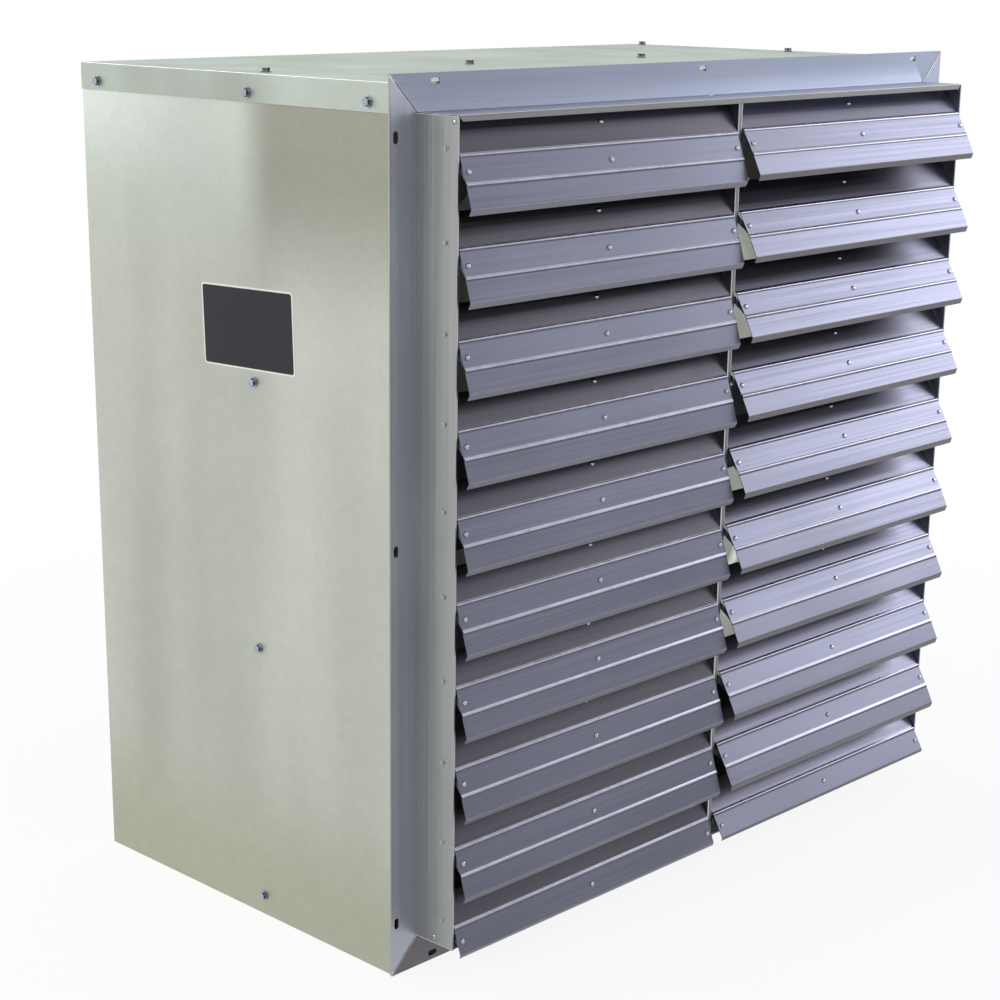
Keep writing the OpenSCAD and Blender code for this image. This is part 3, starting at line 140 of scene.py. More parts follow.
def ramp(tree, value, stops):
    node = tree.nodes.new("ShaderNodeValToRGB")
    elements = node.color_ramp.elements
    for element, (at, colour) in zip(elements, stops):
        element.position = at
        element.color = (*colour, 1.0)
    tree.links.new(value, node.inputs["Fac"])
    return node.outputs["Color"]


def grey(v):
    return (v, v, v)


def combined(tree, operation, a, b):
    """The two values put together by a Math node."""
    node = tree.nodes.new("ShaderNodeMath")
    node.operation = operation
    tree.links.new(a, node.inputs[0])
    tree.links.new(b, node.inputs[1])
    return node.outputs[0]


def mapped(tree, value, source, target=(0.0, 1.0), kind="SMOOTHSTEP"):
    """The value, mapped from the source range to the target range and clamped there."""
    node = tree.nodes.new("ShaderNodeMapRange")
    node.interpolation_type = kind
    for label, (start, end) in (("From", source), ("To", target)):
        node.inputs[label + " Min"].default_value = start
        node.inputs[label + " Max"].default_value = end
    tree.links.new(value, node.inputs["Value"])
    return node.outputs["Result"]


def blend_colours(tree, a, b, mode, factor):
    node = tree.nodes.new("ShaderNodeMix")
    node.data_type = "RGBA"
    node.blend_type = mode
    node.inputs["Factor"].default_value = factor
    tree.links.new(a, node.inputs["A"])
    tree.links.new(b, node.inputs["B"])
    return node.outputs["Result"]


SPREAD = (0.3, 0.7)                   # most of a noise's values lie between these


def varied_roughness(tree, shader, value, low, high):
    link = ramp(tree, value, ((SPREAD[0], grey(low)), (SPREAD[1], grey(high))))
    tree.links.new(link, shader.inputs["Roughness"])


def bumped(tree, shader, value, height, strength=1.0):
    node = tree.nodes.new("ShaderNodeBump")
    node.inputs["Distance"].default_value = height
    node.inputs["Strength"].default_value = strength
    tree.links.new(value, node.inputs["Height"])
    tree.links.new(node.outputs["Normal"], shader.inputs["Normal"])


def fade(tree, axis, start, end):
    """0 where the object's coordinate along the axis is start, rising smoothly to 1 at end."""
    split = tree.nodes.new("ShaderNodeSeparateXYZ")
    tree.links.new(coordinates(tree, UNSTRETCHED), split.inputs["Vector"])
    return mapped(tree, split.outputs[axis], (start, end))


def patched(tree, colour, target, fades):
    """The colour, turned to target where all the fades reach 1."""
    share = None
    for axis, start, end in fades:
        part = fade(tree, axis, start, end)
        share = combined(tree, "MULTIPLY", share, part) if share else part
    node = tree.nodes.new("ShaderNodeMix")
    node.data_type = "RGBA"
    node.inputs["B"].default_value = (*target, 1.0)
    tree.links.new(share, node.inputs["Factor"])
    tree.links.new(colour, node.inputs["A"])
    return node.outputs["Result"]


ZINC_LOW, ZINC_HIGH = (0.455, 0.465, 0.405), (0.585, 0.605, 0.545)
ZINC_SHINE = (0.72, 0.80, 0.76, 1.0)
ZINC_BANDS = {"scale": (5.0, 5.0, 0.35), "frequency": 1.6, "detail": 1.5}
ZINC_CLOUDS = {"scale": (1.0, 1.0, 1.3), "frequency": 2.4, "detail": 3.0}
ZINC_VEIL = (0.93, 0.935, 0.94)
CRYSTALS, CRYSTAL_DARKEST, CRYSTAL_SHARE = 110.0, 0.93, 0.8       # crystals along a metre, and their tone
ZINC_WAVES, ZINC_WAVES_SHARE = 2.0 * MM, 0.25
SIDE_PAINTED_LIGHT = (                      # painted light and shade on the side panels, in metres up and along them: lighter and darker patches near the top, darker towards the bottom
    ((0.56, 0.60, 0.545), (("Z", 0.78, 1.02), ("Y", -0.09, -0.03))),
    ((0.68, 0.73, 0.685), (("Z", 0.90, 1.04), ("Y", 0.02, 0.28))),
    ((0.315, 0.31, 0.265), (("Z", 0.74, 0.96), ("Y", -0.01, -0.09))),
    ((0.46, 0.465, 0.37), (("Z", 0.24, 0.04),)),
)


def galvanised(name, tint=(1.0, 1.0, 1.0), patches=()):
    """Zinc-coated sheet: broad soft bands along the rolling direction, faint spangle, slight waves."""
    material, tree, shader = new_material(name, (0.51, 0.53, 0.465), 0.8, 0.42)
    shader.inputs["Specular Tint"].default_value = ZINC_SHINE
    bands = noise(tree, **ZINC_BANDS)
    clouds = noise(tree, **ZINC_CLOUDS)
    low, high = (tuple(a * b for a, b in zip(c, tint)) for c in (ZINC_LOW, ZINC_HIGH))
    tone = ramp(tree, bands, ((0.30, low), (0.72, high)))
    # painted light and shade patches, where given
    for target, fades in patches:
        tone = patched(tree, tone, target, fades)
    veil = ramp(tree, clouds, ((0.32, ZINC_VEIL), (0.62, grey(1.0))))
    spangle = tree.nodes.new("ShaderNodeTexVoronoi")
    spangle.inputs["Scale"].default_value = CRYSTALS
    tree.links.new(coordinates(tree, UNSTRETCHED), spangle.inputs["Vector"])
    crystals = ramp(tree, spangle.outputs["Color"], ((0.0, grey(CRYSTAL_DARKEST)), (1.0, grey(1.0))))
    colour = blend_colours(tree, tone, veil, "MULTIPLY", 1.0)
    colour = blend_colours(tree, colour, crystals, "MULTIPLY", CRYSTAL_SHARE)
    tree.links.new(colour, shader.inputs["Base Color"])
    varied_roughness(tree, shader, clouds, 0.36, 0.50)
    bumped(tree, shader, clouds, ZINC_WAVES, ZINC_WAVES_SHARE)
    return material


STREAKS_ACROSS, STREAK_DETAIL, STREAK_DEPTH, STREAK_SHARE = 6.0, 3.0, 0.05 * MM, 0.2
SHEEN, SHEEN_DETAIL, SHEEN_DARKEST = 4.5, 1.5, 0.90


def aluminium(name, dark, light, grain, roughness=0.4):
    """Mill-finish aluminium: fine streaks along its length, over broad soft changes of tone."""
    material, tree, shader = new_material(name, light, 1.0, roughness)
    streaks = noise(tree, grain, STREAKS_ACROSS, STREAK_DETAIL)
    clouds = noise(tree, UNSTRETCHED, SHEEN, SHEEN_DETAIL)
    tone = ramp(tree, streaks, ((0.25, dark), (0.75, light)))
    veil = ramp(tree, clouds, ((0.35, grey(SHEEN_DARKEST)), (0.65, grey(1.0))))
    tree.links.new(blend_colours(tree, tone, veil, "MULTIPLY", 1.0), shader.inputs["Base Color"])
    varied_roughness(tree, shader, streaks, roughness - 0.06, roughness + 0.08)
    bumped(tree, shader, streaks, STREAK_DEPTH, STREAK_SHARE)
    return material


def speckled(tree, shader, colour, frequency, darkest):
    """Speckles the shader's colour down to its darkest share, and gives the speckle back."""
    speckle = noise(tree, UNSTRETCHED, frequency, 3.0)
    low = tuple(darkest * c for c in colour)
    tree.links.new(ramp(tree, speckle, ((SPREAD[0], low), (SPREAD[1], colour))), shader.inputs["Base Color"])
    return speckle


METAL_SPECKLE, METAL_DARKEST, CAST_LUMPS, LUMP_SHARE = 60.0, 0.85, 260.0, 0.5
PLAIN_SPECKLE, PLAIN_DARKEST = 90.0, 0.9


def metal(name, colour, metallic, roughness, lump=0.0):
    """Bare, plated or painted metal with a fine speckle, and lumps of the given height if it is cast."""
    material, tree, shader = new_material(name, colour, metallic, roughness)
    speckle = speckled(tree, shader, colour, METAL_SPECKLE, METAL_DARKEST)
    varied_roughness(tree, shader, speckle, roughness - 0.05, roughness + 0.07)
    if lump:
        bumped(tree, shader, noise(tree, UNSTRETCHED, CAST_LUMPS), lump, LUMP_SHARE)
    return material


def plain(name, colour, roughness, shine=0.5):
    """Rubber or printed film with a faint speckle."""
    material, tree, shader = new_material(name, colour, 0.0, roughness)
    shader.inputs["Specular IOR Level"].default_value = shine
    speckle = speckled(tree, shader, colour, PLAIN_SPECKLE, PLAIN_DARKEST)
    varied_roughness(tree, shader, speckle, roughness - 0.04, roughness + 0.05)
    return material


ALONG_X, ALONG_Z = (0.35, 55, 55), (55, 55, 0.35)                 # which way an aluminium's streaks run
MATERIALS = {                         # the look of each material slot of the record
    "galvanised_sheet": galvanised("galvanised_sheet"),
    "frame_aluminium": aluminium("frame_aluminium", (0.24, 0.265, 0.345), (0.285, 0.31, 0.395), ALONG_X),
    "mill_aluminium": aluminium("mill_aluminium", (0.175, 0.178, 0.235), (0.205, 0.208, 0.27), ALONG_X, 0.36),
    "zinc_plated_steel": metal("zinc_plated_steel", (0.40, 0.45, 0.53), 1.0, 0.2),
    "bare_steel": metal("bare_steel", (0.50, 0.51, 0.53), 1.0, 0.3),
    "painted_steel": metal("painted_steel", (0.16, 0.17, 0.18), 0.2, 0.42, 0.15 * MM),
    "cast_iron": metal("cast_iron", (0.10, 0.105, 0.115), 0.4, 0.5, 0.4 * MM),
    "motor_enamel": metal("motor_enamel", (0.04, 0.045, 0.05), 0.1, 0.35, 0.15 * MM),
    "label_black": plain("label_black", (0.016, 0.016, 0.024), 0.4, 0.25),
    "belt_rubber": plain("belt_rubber", (0.015, 0.015, 0.015), 0.7),
}

# looks of single nodes and of single faces of the pieces
# the side panels' zinc, with painted light and shade patches
GALVANISED_SIDE_PAINTED_LIGHT = galvanised("galvanised_side_painted_light", patches=SIDE_PAINTED_LIGHT)
GALVANISED_TOP = galvanised("galvanised_top", (0.80, 0.85, 0.86))
# the left rail: lighter copies of the frame aluminium, painted light
FRAME_UPRIGHT_PAINTED_LIGHT = aluminium("frame_aluminium_upright_painted_light", (0.37, 0.385, 0.375), (0.44, 0.455, 0.445), ALONG_Z)
FLANGE_UPRIGHT_PAINTED_LIGHT = aluminium("flange_aluminium_upright_painted_light", (0.40, 0.42, 0.48), (0.46, 0.48, 0.54), ALONG_Z)
# the mullion: a darker copy of the frame aluminium, painted shade
MULLION_PAINTED_SHADE = aluminium("mullion_aluminium_painted_shade", (0.17, 0.18, 0.20), (0.21, 0.22, 0.24), ALONG_Z)
# the right rail: a lighter copy of the frame aluminium, painted light
FRAME_RIGHT_PAINTED_LIGHT = aluminium("frame_aluminium_right_painted_light", (0.30, 0.325, 0.41), (0.35, 0.375, 0.465), ALONG_Z)
# the bottom rail's flange and the rails' front rims: darker copies of the frame aluminium, painted shade
FLANGE_LOW_PAINTED_SHADE = aluminium("frame_aluminium_low_painted_shade", (0.15, 0.14, 0.155), (0.18, 0.17, 0.185), ALONG_X)
RIM_PAINTED_SHADE = aluminium("frame_aluminium_rim_painted_shade", (0.20, 0.20, 0.205), (0.24, 0.24, 0.245), ALONG_X)
SEAM = metal("frame_seam", (0.10, 0.095, 0.11), 0.8, 0.5)
# darker copies of the mill aluminium: painted shade on the left column's blades, on the upper facets and on
# the blades' backs
LEFT_SHEET_PAINTED_SHADE = aluminium("mill_aluminium_left_painted_shade", (0.13, 0.135, 0.18), (0.16, 0.165, 0.215), ALONG_X, 0.36)
UPPER_LEFT_PAINTED_SHADE = aluminium("mill_aluminium_upper_left_painted_shade", (0.075, 0.07, 0.085), (0.10, 0.095, 0.115), ALONG_X, 0.36)
UPPER_RIGHT_PAINTED_SHADE = aluminium("mill_aluminium_upper_right_painted_shade", (0.155, 0.15, 0.20), (0.19, 0.185, 0.245),
                        ALONG_X, 0.36)
BLADE_BACK_PAINTED_SHADE = aluminium("mill_aluminium_back_painted_shade", (0.055, 0.052, 0.055), (0.08, 0.076, 0.08), ALONG_X, 0.45)
# painted highlight on each bead's crest, painted shade on its lower flank
CREST_PAINTED_HIGHLIGHT = metal("aluminium_crest_painted_highlight", (0.37, 0.365, 0.44), 1.0, 0.30)
FLANK_PAINTED_SHADE = metal("aluminium_flank_painted_shade", (0.11, 0.11, 0.145), 1.0, 0.4)
# hems: painted highlight on the left column, painted shade on the right column
HEM_LEFT_PAINTED_HIGHLIGHT = metal("hem_aluminium_left_painted_highlight", (0.215, 0.215, 0.26), 1.0, 0.35)
HEM_RIGHT_PAINTED_SHADE = metal("hem_aluminium_right_painted_shade", (0.16, 0.16, 0.175), 1.0, 0.35)
RIVET = metal("rivet_aluminium", (0.42, 0.42, 0.48), 1.0, 0.16)
PIN = metal("pin_aluminium", (0.46, 0.455, 0.40), 1.0, 0.3)
# painted highlight on the outer bends of the sheets and of the rails
ZINC_BEND_PAINTED_HIGHLIGHT = metal("zinc_bend_painted_highlight", (0.92, 0.93, 0.90), 0.8, 0.35)
FRAME_BEND_PAINTED_HIGHLIGHT = metal("frame_bend_painted_highlight", (0.55, 0.55, 0.56), 1.0, 0.3)
# screws: painted highlight on the broken edges, painted shade on the sides of the head
SCREW_EDGE_PAINTED_HIGHLIGHT = metal("screw_edge_painted_highlight", (0.88, 0.91, 0.96), 1.0, 0.2)
SCREW_SIDE_PAINTED_SHADE = metal("screw_side_painted_shade", (0.10, 0.115, 0.15), 1.0, 0.25)
LABEL_PALE = plain("label_pale", (0.78, 0.79, 0.72), 0.45)

SLOTS = {row["node"]: row["material_slot"] for row in frame["record"]["subparts"]}
OWN_LOOK = {"frame_rivets": RIVET, "side_panel_left": GALVANISED_SIDE_PAINTED_LIGHT, "side_panel_right": GALVANISED_SIDE_PAINTED_LIGHT,
            "top_panel": GALVANISED_TOP}


def look_of(node):
    return OWN_LOOK.get(node, MATERIALS[SLOTS[node]])


def dress_nodes():
    for name, obj in frame["nodes"].items():
        obj.data.materials.clear()
        obj.data.materials.append(look_of(name))


# ---------- fine pieces, made from the frame's own solids ----------

CRISP = math.radians(35)              # an edge that turns more than this isn't shaded smooth
JOINED, FLAT = 2e-6, math.radians(0.5)            # metres and angle within which triangles are one face


def new_piece(name, bm, node, *materials):
    """A piece from a bmesh, with smooth rounded edges and crisp flat faces, that rides where node does."""
    mesh = bpy.data.meshes.new(name)
    bm.to_mesh(mesh)
    bm.free()
    mesh.shade_smooth()
    mesh.set_sharp_from_angle(angle=CRISP)
    for material in materials:
        mesh.materials.append(material)
    piece = bpy.data.objects.new(name, mesh)
    bpy.context.collection.objects.link(piece)
    weighted = piece.modifiers.new("normals", "WEIGHTED_NORMAL")
    weighted.keep_sharp = True
    bpy.context.view_layer.update()
    shown = piece.evaluated_get(bpy.context.evaluated_depsgraph_get())
    piece.data = bpy.data.meshes.new_from_object(shown)
    piece.modifiers.clear()
    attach(piece, body_of(frame["nodes"][node])[0])
    return piece


def solids_of(node):
    """The node's mesh with its triangles joined into whole faces again."""
    bm = bmesh.new()
    bm.from_mesh(frame["nodes"][node].data)
    bmesh.ops.remove_doubles(bm, verts=bm.verts, dist=JOINED)
    bmesh.ops.dissolve_limit(bm, angle_limit=FLAT, verts=bm.verts, edges=bm.edges)
    bmesh.ops.recalc_face_normals(bm, faces=bm.faces)
    return bm


def islands(bm):
    """The bmesh's separate solids, each a list of vertices."""
    left, found = set(bm.verts), []
    while left:
        start = left.pop()
        solid, waiting = [start], [start]
        while waiting:
            for edge in waiting.pop().link_edges:
                for vert in edge.verts:
                    if vert in left:
                        left.remove(vert)
                        solid.append(vert)
                        waiting.append(vert)
        found.append(solid)
    return found


SAME_PLACE = 0.02 * MM


def end_outline(solid):
    """Corners of an extruded solid's section as (y, z) in order, with its first and last x."""
    x0 = min(v.co.x for v in solid)
    x1 = max(v.co.x for v in solid)
    at_end = {v for v in solid if v.co.x - x0 < SAME_PLACE}
    rim = [e for v in at_end for e in v.link_edges if all(w in at_end for w in e.verts)
           and sum(all(w in at_end for w in f.verts) for f in e.link_faces) == 1]
    following = {}
    for edge in set(rim):
        for a, b in (edge.verts, reversed(edge.verts)):
            following.setdefault(a, []).append(b)
    start = next(iter(sorted(following, key=lambda v: v.co.z)))
    loop, last, here = [start], None, start
    while True:
        step = next(v for v in following[here] if v is not last)
        if step is start:
            break
        loop.append(step)
        last, here = here, step
    return [Vector((v.co.y, v.co.z)) for v in loop], x0, x1


BEND, BEND_SHARE = 1.4 * MM, 0.42     # a bend's rounding takes this from each side, or this share of it
NEAR_TOP = 2 * MM
FLANK = (2.0 * MM, 3.5 * MM)          # a bead's flanks are this long
FACET = 20 * MM                       # a blade's facets are longer than this
SEGMENTS = 4                          # faces along a bend's rounding
RIVET_WIDTH = 10 * MM                 # a blade's solids that are narrower than this are rivets
SHEET_FACE, UPPER, BACK, CREST, DARK_LINE, HEMMED, RIVETED, PINNED = range(8)
# each column's lit and shaded copies of the mill aluminium: painted light and shade per facet
BLADE_MATERIALS = {
    "left": (LEFT_SHEET_PAINTED_SHADE, UPPER_LEFT_PAINTED_SHADE, BLADE_BACK_PAINTED_SHADE, CREST_PAINTED_HIGHLIGHT, FLANK_PAINTED_SHADE, HEM_LEFT_PAINTED_HIGHLIGHT, RIVET, PIN),
    "right": (MATERIALS["mill_aluminium"], UPPER_RIGHT_PAINTED_SHADE, BLADE_BACK_PAINTED_SHADE, CREST_PAINTED_HIGHLIGHT, FLANK_PAINTED_SHADE, HEM_RIGHT_PAINTED_SHADE, RIVET, PIN),
}


def side_looks(corners):
    """For each side of a blade's outline, which of the blade's materials it has: painted shade on the upper
    facets, the backs and each bead's lower flank, a painted highlight on each crest, a painted highlight on
    the left column's hems and painted shade on the right column's.
    """
    count = len(corners)
    area = sum(a.cross(b) for a, b in zip(corners, corners[1:] + corners[:1]))
    top = max(p.y for p in corners)
    lengths = [(corners[(i + 1) % count] - corners[i]).length for i in range(count)]
    looks = []
    for i in range(count):
        a, b = corners[i], corners[(i + 1) % count]
        faces_back = (b.y - a.y) * area > 0
        if faces_back:
            looks.append(BACK)
        elif lengths[i] > FACET:
            looks.append(UPPER if max(a.y, b.y) > top - NEAR_TOP else SHEET_FACE)
        elif FLANK[0] < lengths[i] < FLANK[1]:
            above = lengths[i - 1] if a.y > b.y else lengths[(i + 1) % count]
            looks.append(CREST if above > FACET else DARK_LINE)
        else:
            looks.append(HEMMED if lengths[i] > FLANK[1] else SHEET_FACE)
    return looks


def rounded(corners):
    """The outline with its corners rounded, and for each of its sides which material it has."""
    points, marks = [], []
    count = len(corners)
    looks = side_looks(corners)
    for i, corner in enumerate(corners):
        before, after = corners[i - 1], corners[(i + 1) % count]
        one, two = (before - corner), (after - corner)
        cut = min(BEND_SHARE * one.length, BEND_SHARE * two.length, BEND)
        p, q = corner + cut * one.normalized(), corner + cut * two.normalized()
        past, coming = looks[i - 1], looks[i]
        for k in range(SEGMENTS + 1):
            t = k / SEGMENTS
            points.append((1 - t) ** 2 * p + 2 * t * (1 - t) * corner + t ** 2 * q)
            if k == SEGMENTS:
                marks.append(coming)
            elif {past, coming} == {CREST, DARK_LINE}:
                marks.append(CREST)
            elif HEMMED in (past, coming) and BACK not in (past, coming):
                marks.append(HEMMED)
            else:
                marks.append(past if k < SEGMENTS / 2 else coming)
    return points, marks


def formed_blade(side, row):
    """A shutter blade whose sheet has rounded bends, beads and hem; its brackets and rivets stay."""
    node = f"blade_{side}_{row}"
    bm = solids_of(node)
    sheet = max(islands(bm), key=lambda s: max(v.co.x for v in s) - min(v.co.x for v in s))
    corners, x0, x1 = end_outline(sheet)
    bmesh.ops.delete(bm, geom=sheet, context="VERTS")
    points, marks = rounded(corners)
    ends = [[bm.verts.new((x, p.x, p.y)) for p in points] for x in (x0, x1)]
    count = len(points)
    made = []
    for i in range(count):
        j = (i + 1) % count
        face = bm.faces.new((ends[0][i], ends[0][j], ends[1][j], ends[1][i]))
        face.material_index = marks[i]
        made.append(face)
    made += [bm.faces.new(ends[0]), bm.faces.new(ends[1])]
    bmesh.ops.recalc_face_normals(bm, faces=made)
    for solid in islands(bm):
        rivet = max(v.co.x for v in solid) - min(v.co.x for v in solid) < RIVET_WIDTH
        for face in {f for v in solid for f in v.link_faces}:
            at = face.calc_center_median().x
            if at < x0 - SAME_PLACE or at > x1 + SAME_PLACE:
                face.material_index = PINNED
            elif rivet:
                face.material_index = RIVETED
    piece = new_piece(node + "_formed", bm, node, *BLADE_MATERIALS[side])
    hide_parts(node)


SHEET_NODES = ("side_panel_left", "side_panel_right", "top_panel", "bottom_panel",
               "shutter_rail_top", "shutter_rail_bottom", "shutter_rail_left", "shutter_rail_right",
               "shutter_mullion", "orifice_panel", "drive_post_left", "drive_post_right",
               "bearing_saddle", "motor_shelf")
OUTER_BEND, INNER_BEND, TOP_BEND = 1.8 * MM, 0.6 * MM, 3.0 * MM
FOLD_LENGTH, FOLD_WIDTH = 30 * MM, 4 * MM         # a fold is longer, and its faces are wider
FOLD_ANGLES = (math.radians(30), math.radians(150))
SLANTED, FACING = 0.5, 0.9            # how much of a normal lies along an axis
RIM_Y = -0.34                         # the neck's front rim lies in front of this
# BRIGHT marks the outer bends, which carry a painted highlight
MAIN, BRIGHT, FLANGE, RIM, SEAMED = range(5)
FRAME_LOOKS = {                       # each rail's main, flange and rim materials, most of them lighter or darker copies of the frame aluminium: painted light and shade
    "shutter_rail_top": (MATERIALS["frame_aluminium"], MATERIALS["frame_aluminium"], RIM_PAINTED_SHADE),
    "shutter_rail_bottom": (MATERIALS["frame_aluminium"], FLANGE_LOW_PAINTED_SHADE, RIM_PAINTED_SHADE),
    "shutter_rail_left": (FRAME_UPRIGHT_PAINTED_LIGHT, FLANGE_UPRIGHT_PAINTED_LIGHT, FRAME_UPRIGHT_PAINTED_LIGHT),
    "shutter_rail_right": (FRAME_RIGHT_PAINTED_LIGHT, FRAME_RIGHT_PAINTED_LIGHT, FRAME_RIGHT_PAINTED_LIGHT),
    "shutter_mullion": (MULLION_PAINTED_SHADE, MULLION_PAINTED_SHADE, MULLION_PAINTED_SHADE),
}


def bends(bm, outer):
    """Long edges between two wide faces: where the sheet is folded, and not where it is cut."""
    found = []
    for edge in bm.edges:
        length = edge.calc_length()
        if length < FOLD_LENGTH or len(edge.link_faces) != 2:
            continue
        angle = edge.calc_face_angle_signed(0.0)
        wide = min(face.calc_area() for face in edge.link_faces) / length
        if FOLD_ANGLES[0] < (angle if outer else -angle) < FOLD_ANGLES[1] and wide > FOLD_WIDTH:
            found.append(edge)
    return found


def rounded_edges(bm, edges, size, segments):
    made = bmesh.ops.bevel(bm, geom=edges, offset=size, offset_type="OFFSET", segments=segments,
                           profile=0.5, affect="EDGES", clamp_overlap=True)
    return made["faces"]


def frame_face(face):
    """Which part of a rail a flat face is: its flange, its front rim, a mitred seam or the rest."""
    if min(abs(face.normal.x), abs(face.normal.z)) > SLANTED:
        return SEAMED
    if face.normal.y < -FACING:
        return RIM if face.calc_center_median().y < RIM_Y else FLANGE
    return MAIN


def folded_sheet(node):
    """A sheet with rounded bends, whose outer bends carry a painted highlight, and dull cut edges; a rail's
    flange and front rim carry painted light and shade.
    """
    bm = solids_of(node)
    framed = node in FRAME_LOOKS
    if framed:
        for face in bm.faces:
            face.material_index = frame_face(face)
    outer_size = TOP_BEND if node == "top_panel" else OUTER_BEND
    for outer, size in ((True, outer_size), (False, INNER_BEND)):
        edges = bends(bm, outer)
        if edges and (outer or not framed):
            for face in rounded_edges(bm, edges, size, SEGMENTS):
                face.material_index = BRIGHT if outer else MAIN
    if framed:
        main, flange, rim = FRAME_LOOKS[node]
        materials = (main, FRAME_BEND_PAINTED_HIGHLIGHT, flange, rim, SEAM)
    else:
        materials = (look_of(node), ZINC_BEND_PAINTED_HIGHLIGHT)
    piece = new_piece(node + "_folded", bm, node, *materials)
    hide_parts(node)


SOFTENED = {                          # how much is taken off each edge, in millimetres
            "panel_screws": 0.8, "drive_bolts": 0.5, "pillow_blocks": 1.2, "motor_end_bells": 1.0,
            "motor_foot": 0.6, "junction_box": 1.0, "fan_hub": 0.8, "fan_arms": 0.6, "fan_sheave": 0.6,
            "motor_sheave": 0.5}
SHARP = math.radians(40)              # edges that turn more than this are broken
SURFACE, BROKEN_EDGE, HEAD_SIDE = range(3)


def mark_screw_sides(bm):
    """Gives the sides of each screw's head their painted shade; the top screws stand upright."""
    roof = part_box("top_panel")[1].z + MM
    for solid in islands(bm):
        upright = max(v.co.z for v in solid) > roof
        for face in {f for v in solid for f in v.link_faces}:
            along = face.normal.z if upright else face.normal.x
            if abs(along) < SLANTED:
                face.material_index = HEAD_SIDE


def softened(node, size):
    """A turned, cast or pressed piece with its sharp edges broken."""
    bm = solids_of(node)
    screws = node == "panel_screws"
    if screws:
        mark_screw_sides(bm)
    edges = [e for e in bm.edges if len(e.link_faces) == 2 and e.calc_face_angle(0.0) > SHARP]
    # on the screws the broken edges carry a painted highlight
    for face in rounded_edges(bm, edges, size * MM, 2):
        face.material_index = BROKEN_EDGE if screws else SURFACE
    materials = (look_of(node), SCREW_EDGE_PAINTED_HIGHLIGHT, SCREW_SIDE_PAINTED_SHADE) if screws else (look_of(node),)
    piece = new_piece(node + "_softened", bm, node, *materials)
    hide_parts(node)


# ---------- the bare label plate ----------

LABEL_SIZE, LABEL_CORNER, LABEL_TURN = (169.5, 99.5), 4.5, 1.9    # millimetres and degrees
LABEL_BORDER, LABEL_STEPS = 2.2, 8    # the pale border's width, and the faces round a corner
LABEL_EDGE, LABEL_SLOPE = 0.1, 0.15   # the broken edge, across the plate's thickness and inwards
BACKING_TOP, FACE_FROM, FACE_TOP = 0.35, 0.2, 0.48                # millimetres off the panel


def label_layer(name, inset, low, high, material):
    """A rounded plate with a broken edge, from low to high millimetres off the left side panel."""
    lowest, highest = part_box("label_plate")
    middle = (lowest + highest) / 2
    half_l, half_h = (size / 2 - inset for size in LABEL_SIZE)
    radius = LABEL_CORNER - 0.5 * inset
    lean = Matrix.Rotation(math.radians(-LABEL_TURN), 3, "X")
    bm = bmesh.new()
    rings = []
    for out, shrink in ((low, 0.0), (high - LABEL_EDGE, 0.0), (high, LABEL_SLOPE)):
        ring = []
        for s, t, begin in ((1, 1, 0), (-1, 1, 90), (-1, -1, 180), (1, -1, 270)):
            for k in range(LABEL_STEPS + 1):
                a = math.radians(begin + 90 * k / LABEL_STEPS)
                y = s * (half_l - radius) + (radius - shrink) * math.cos(a)
                z = t * (half_h - radius) + (radius - shrink) * math.sin(a)
                flat = lean @ Vector((0, y, z))
                ring.append(bm.verts.new((highest.x - out * MM, middle.y + flat.y * MM,
                                          middle.z + flat.z * MM)))
        rings.append(ring)
    for a, b in zip(rings, rings[1:]):
        for i in range(len(a)):
            j = (i + 1) % len(a)
            bm.faces.new((a[i], a[j], b[j], b[i]))
    bm.faces.new(rings[0])
    bm.faces.new(rings[-1])
    bmesh.ops.recalc_face_normals(bm, faces=bm.faces)
    return new_piece(name, bm, "label_plate", material)


def add_label():
    backing = label_layer("label_backing", 0.0, 0.0, BACKING_TOP, LABEL_PALE)
    label_layer("label_face", LABEL_BORDER, FACE_FROM, FACE_TOP, MATERIALS["label_black"])
    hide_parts("label_plate")


def add_pieces():
    for side in ("left", "right"):
        for row in range(1, 11):
            formed_blade(side, row)
    for node in SHEET_NODES:
        folded_sheet(node)
    for node, size in SOFTENED.items():
        softened(node, size)
    add_label()


# ---------- stage and light ----------

FLOOR_HALF, FLOOR_DROP = 12.0, 0.5 * MM
SHADOW_ZONE = (0.9, 1.9)              # metres from the origin over which the floor's shadow fades out
GLOW = (0.90, 1.0)                    # how much of the floor is plain white, near and far
WORLD_LIGHT = 0.5                     # the world's strength as a light; 1 is white where it is seen


def seen_directly(tree):
    """1 for camera, glossy and transmitted rays, 0 for the rest."""
    path = tree.nodes.new("ShaderNodeLightPath")
    total = path.outputs["Is Camera Ray"]
    for name in ("Is Glossy Ray", "Is Transmission Ray"):
        total = combined(tree, "MAXIMUM", total, path.outputs[name])
    return total


def add_world():
    world = bpy.data.worlds.new("world")
    bpy.context.scene.world = world
    world.use_nodes = True
    tree = world.node_tree
    background = tree.nodes["Background"]
    background.inputs["Color"].default_value = (1.0, 1.0, 1.0, 1.0)
    level = mapped(tree, seen_directly(tree), (0.0, 1.0), (WORLD_LIGHT, 1.0), "LINEAR")
    tree.links.new(level, background.inputs["Strength"])


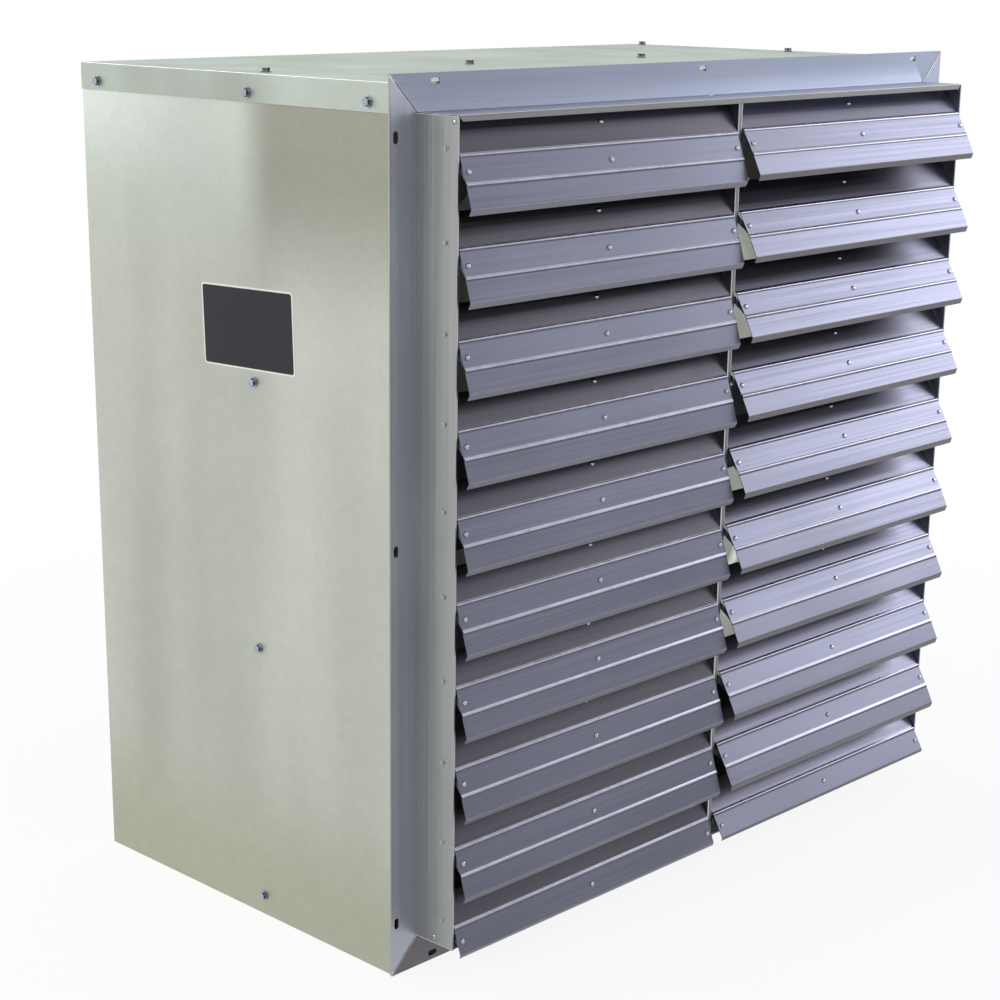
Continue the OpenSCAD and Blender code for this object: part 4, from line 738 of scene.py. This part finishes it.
def add_floor():
    """A white floor that keeps a soft shadow near the object and fades into the white background."""
    mesh = bpy.data.meshes.new("floor")
    corners = [(x * FLOOR_HALF, y * FLOOR_HALF, -FLOOR_DROP) for x, y in ((-1, -1), (1, -1), (1, 1), (-1, 1))]
    mesh.from_pydata(corners, [], [(0, 1, 2, 3)])
    floor = bpy.data.objects.new("floor", mesh)
    bpy.context.collection.objects.link(floor)
    material, tree, shader = new_material("floor", (0.9, 0.9, 0.9), 0.0, 0.9)
    shader.inputs["Specular IOR Level"].default_value = 0.0
    glow = tree.nodes.new("ShaderNodeEmission")
    mix = tree.nodes.new("ShaderNodeMixShader")
    where = tree.nodes.new("ShaderNodeTexCoord")
    far = tree.nodes.new("ShaderNodeVectorMath")
    far.operation = "LENGTH"
    tree.links.new(where.outputs["Object"], far.inputs[0])
    share = mapped(tree, far.outputs["Value"], SHADOW_ZONE, GLOW)
    tree.links.new(combined(tree, "MULTIPLY", seen_directly(tree), share), mix.inputs["Fac"])
    tree.links.new(shader.outputs["BSDF"], mix.inputs[1])
    tree.links.new(glow.outputs["Emission"], mix.inputs[2])
    tree.links.new(mix.outputs["Shader"], tree.nodes["Material Output"].inputs["Surface"])
    mesh.materials.append(material)


def add_lamp(name, at, look_at, size, watts, colour=(1.0, 1.0, 1.0)):
    data = bpy.data.lights.new(name, "AREA")
    data.shape = "DISK"
    data.size = size
    data.energy = watts
    data.color = colour
    lamp = bpy.data.objects.new(name, data)
    lamp.location = at
    lamp.rotation_euler = (Vector(look_at) - Vector(at)).to_track_quat("-Z", "Y").to_euler()
    bpy.context.collection.objects.link(lamp)


def add_lamps():
    middle = (0.0, 0.0, 0.5)
    add_lamp("left", (-4.2, 0.6, 2.4), middle, 2.4, 60.0, (1.0, 0.99, 0.95))
    add_lamp("right", (4.3, -1.87, 2.1), middle, 2.2, 60.0, (0.90, 0.93, 1.0))
    add_lamp("above", (0.5, 0.8, 4.5), middle, 3.0, 40.0)
    add_lamp("behind", (-2.3, 3.9, 2.4), middle, 1.6, 35.0)


add_camera()
add_world()
add_floor()
add_lamps()
dress_nodes()
add_pieces()

bpy.context.scene.view_settings.view_transform = "Standard"
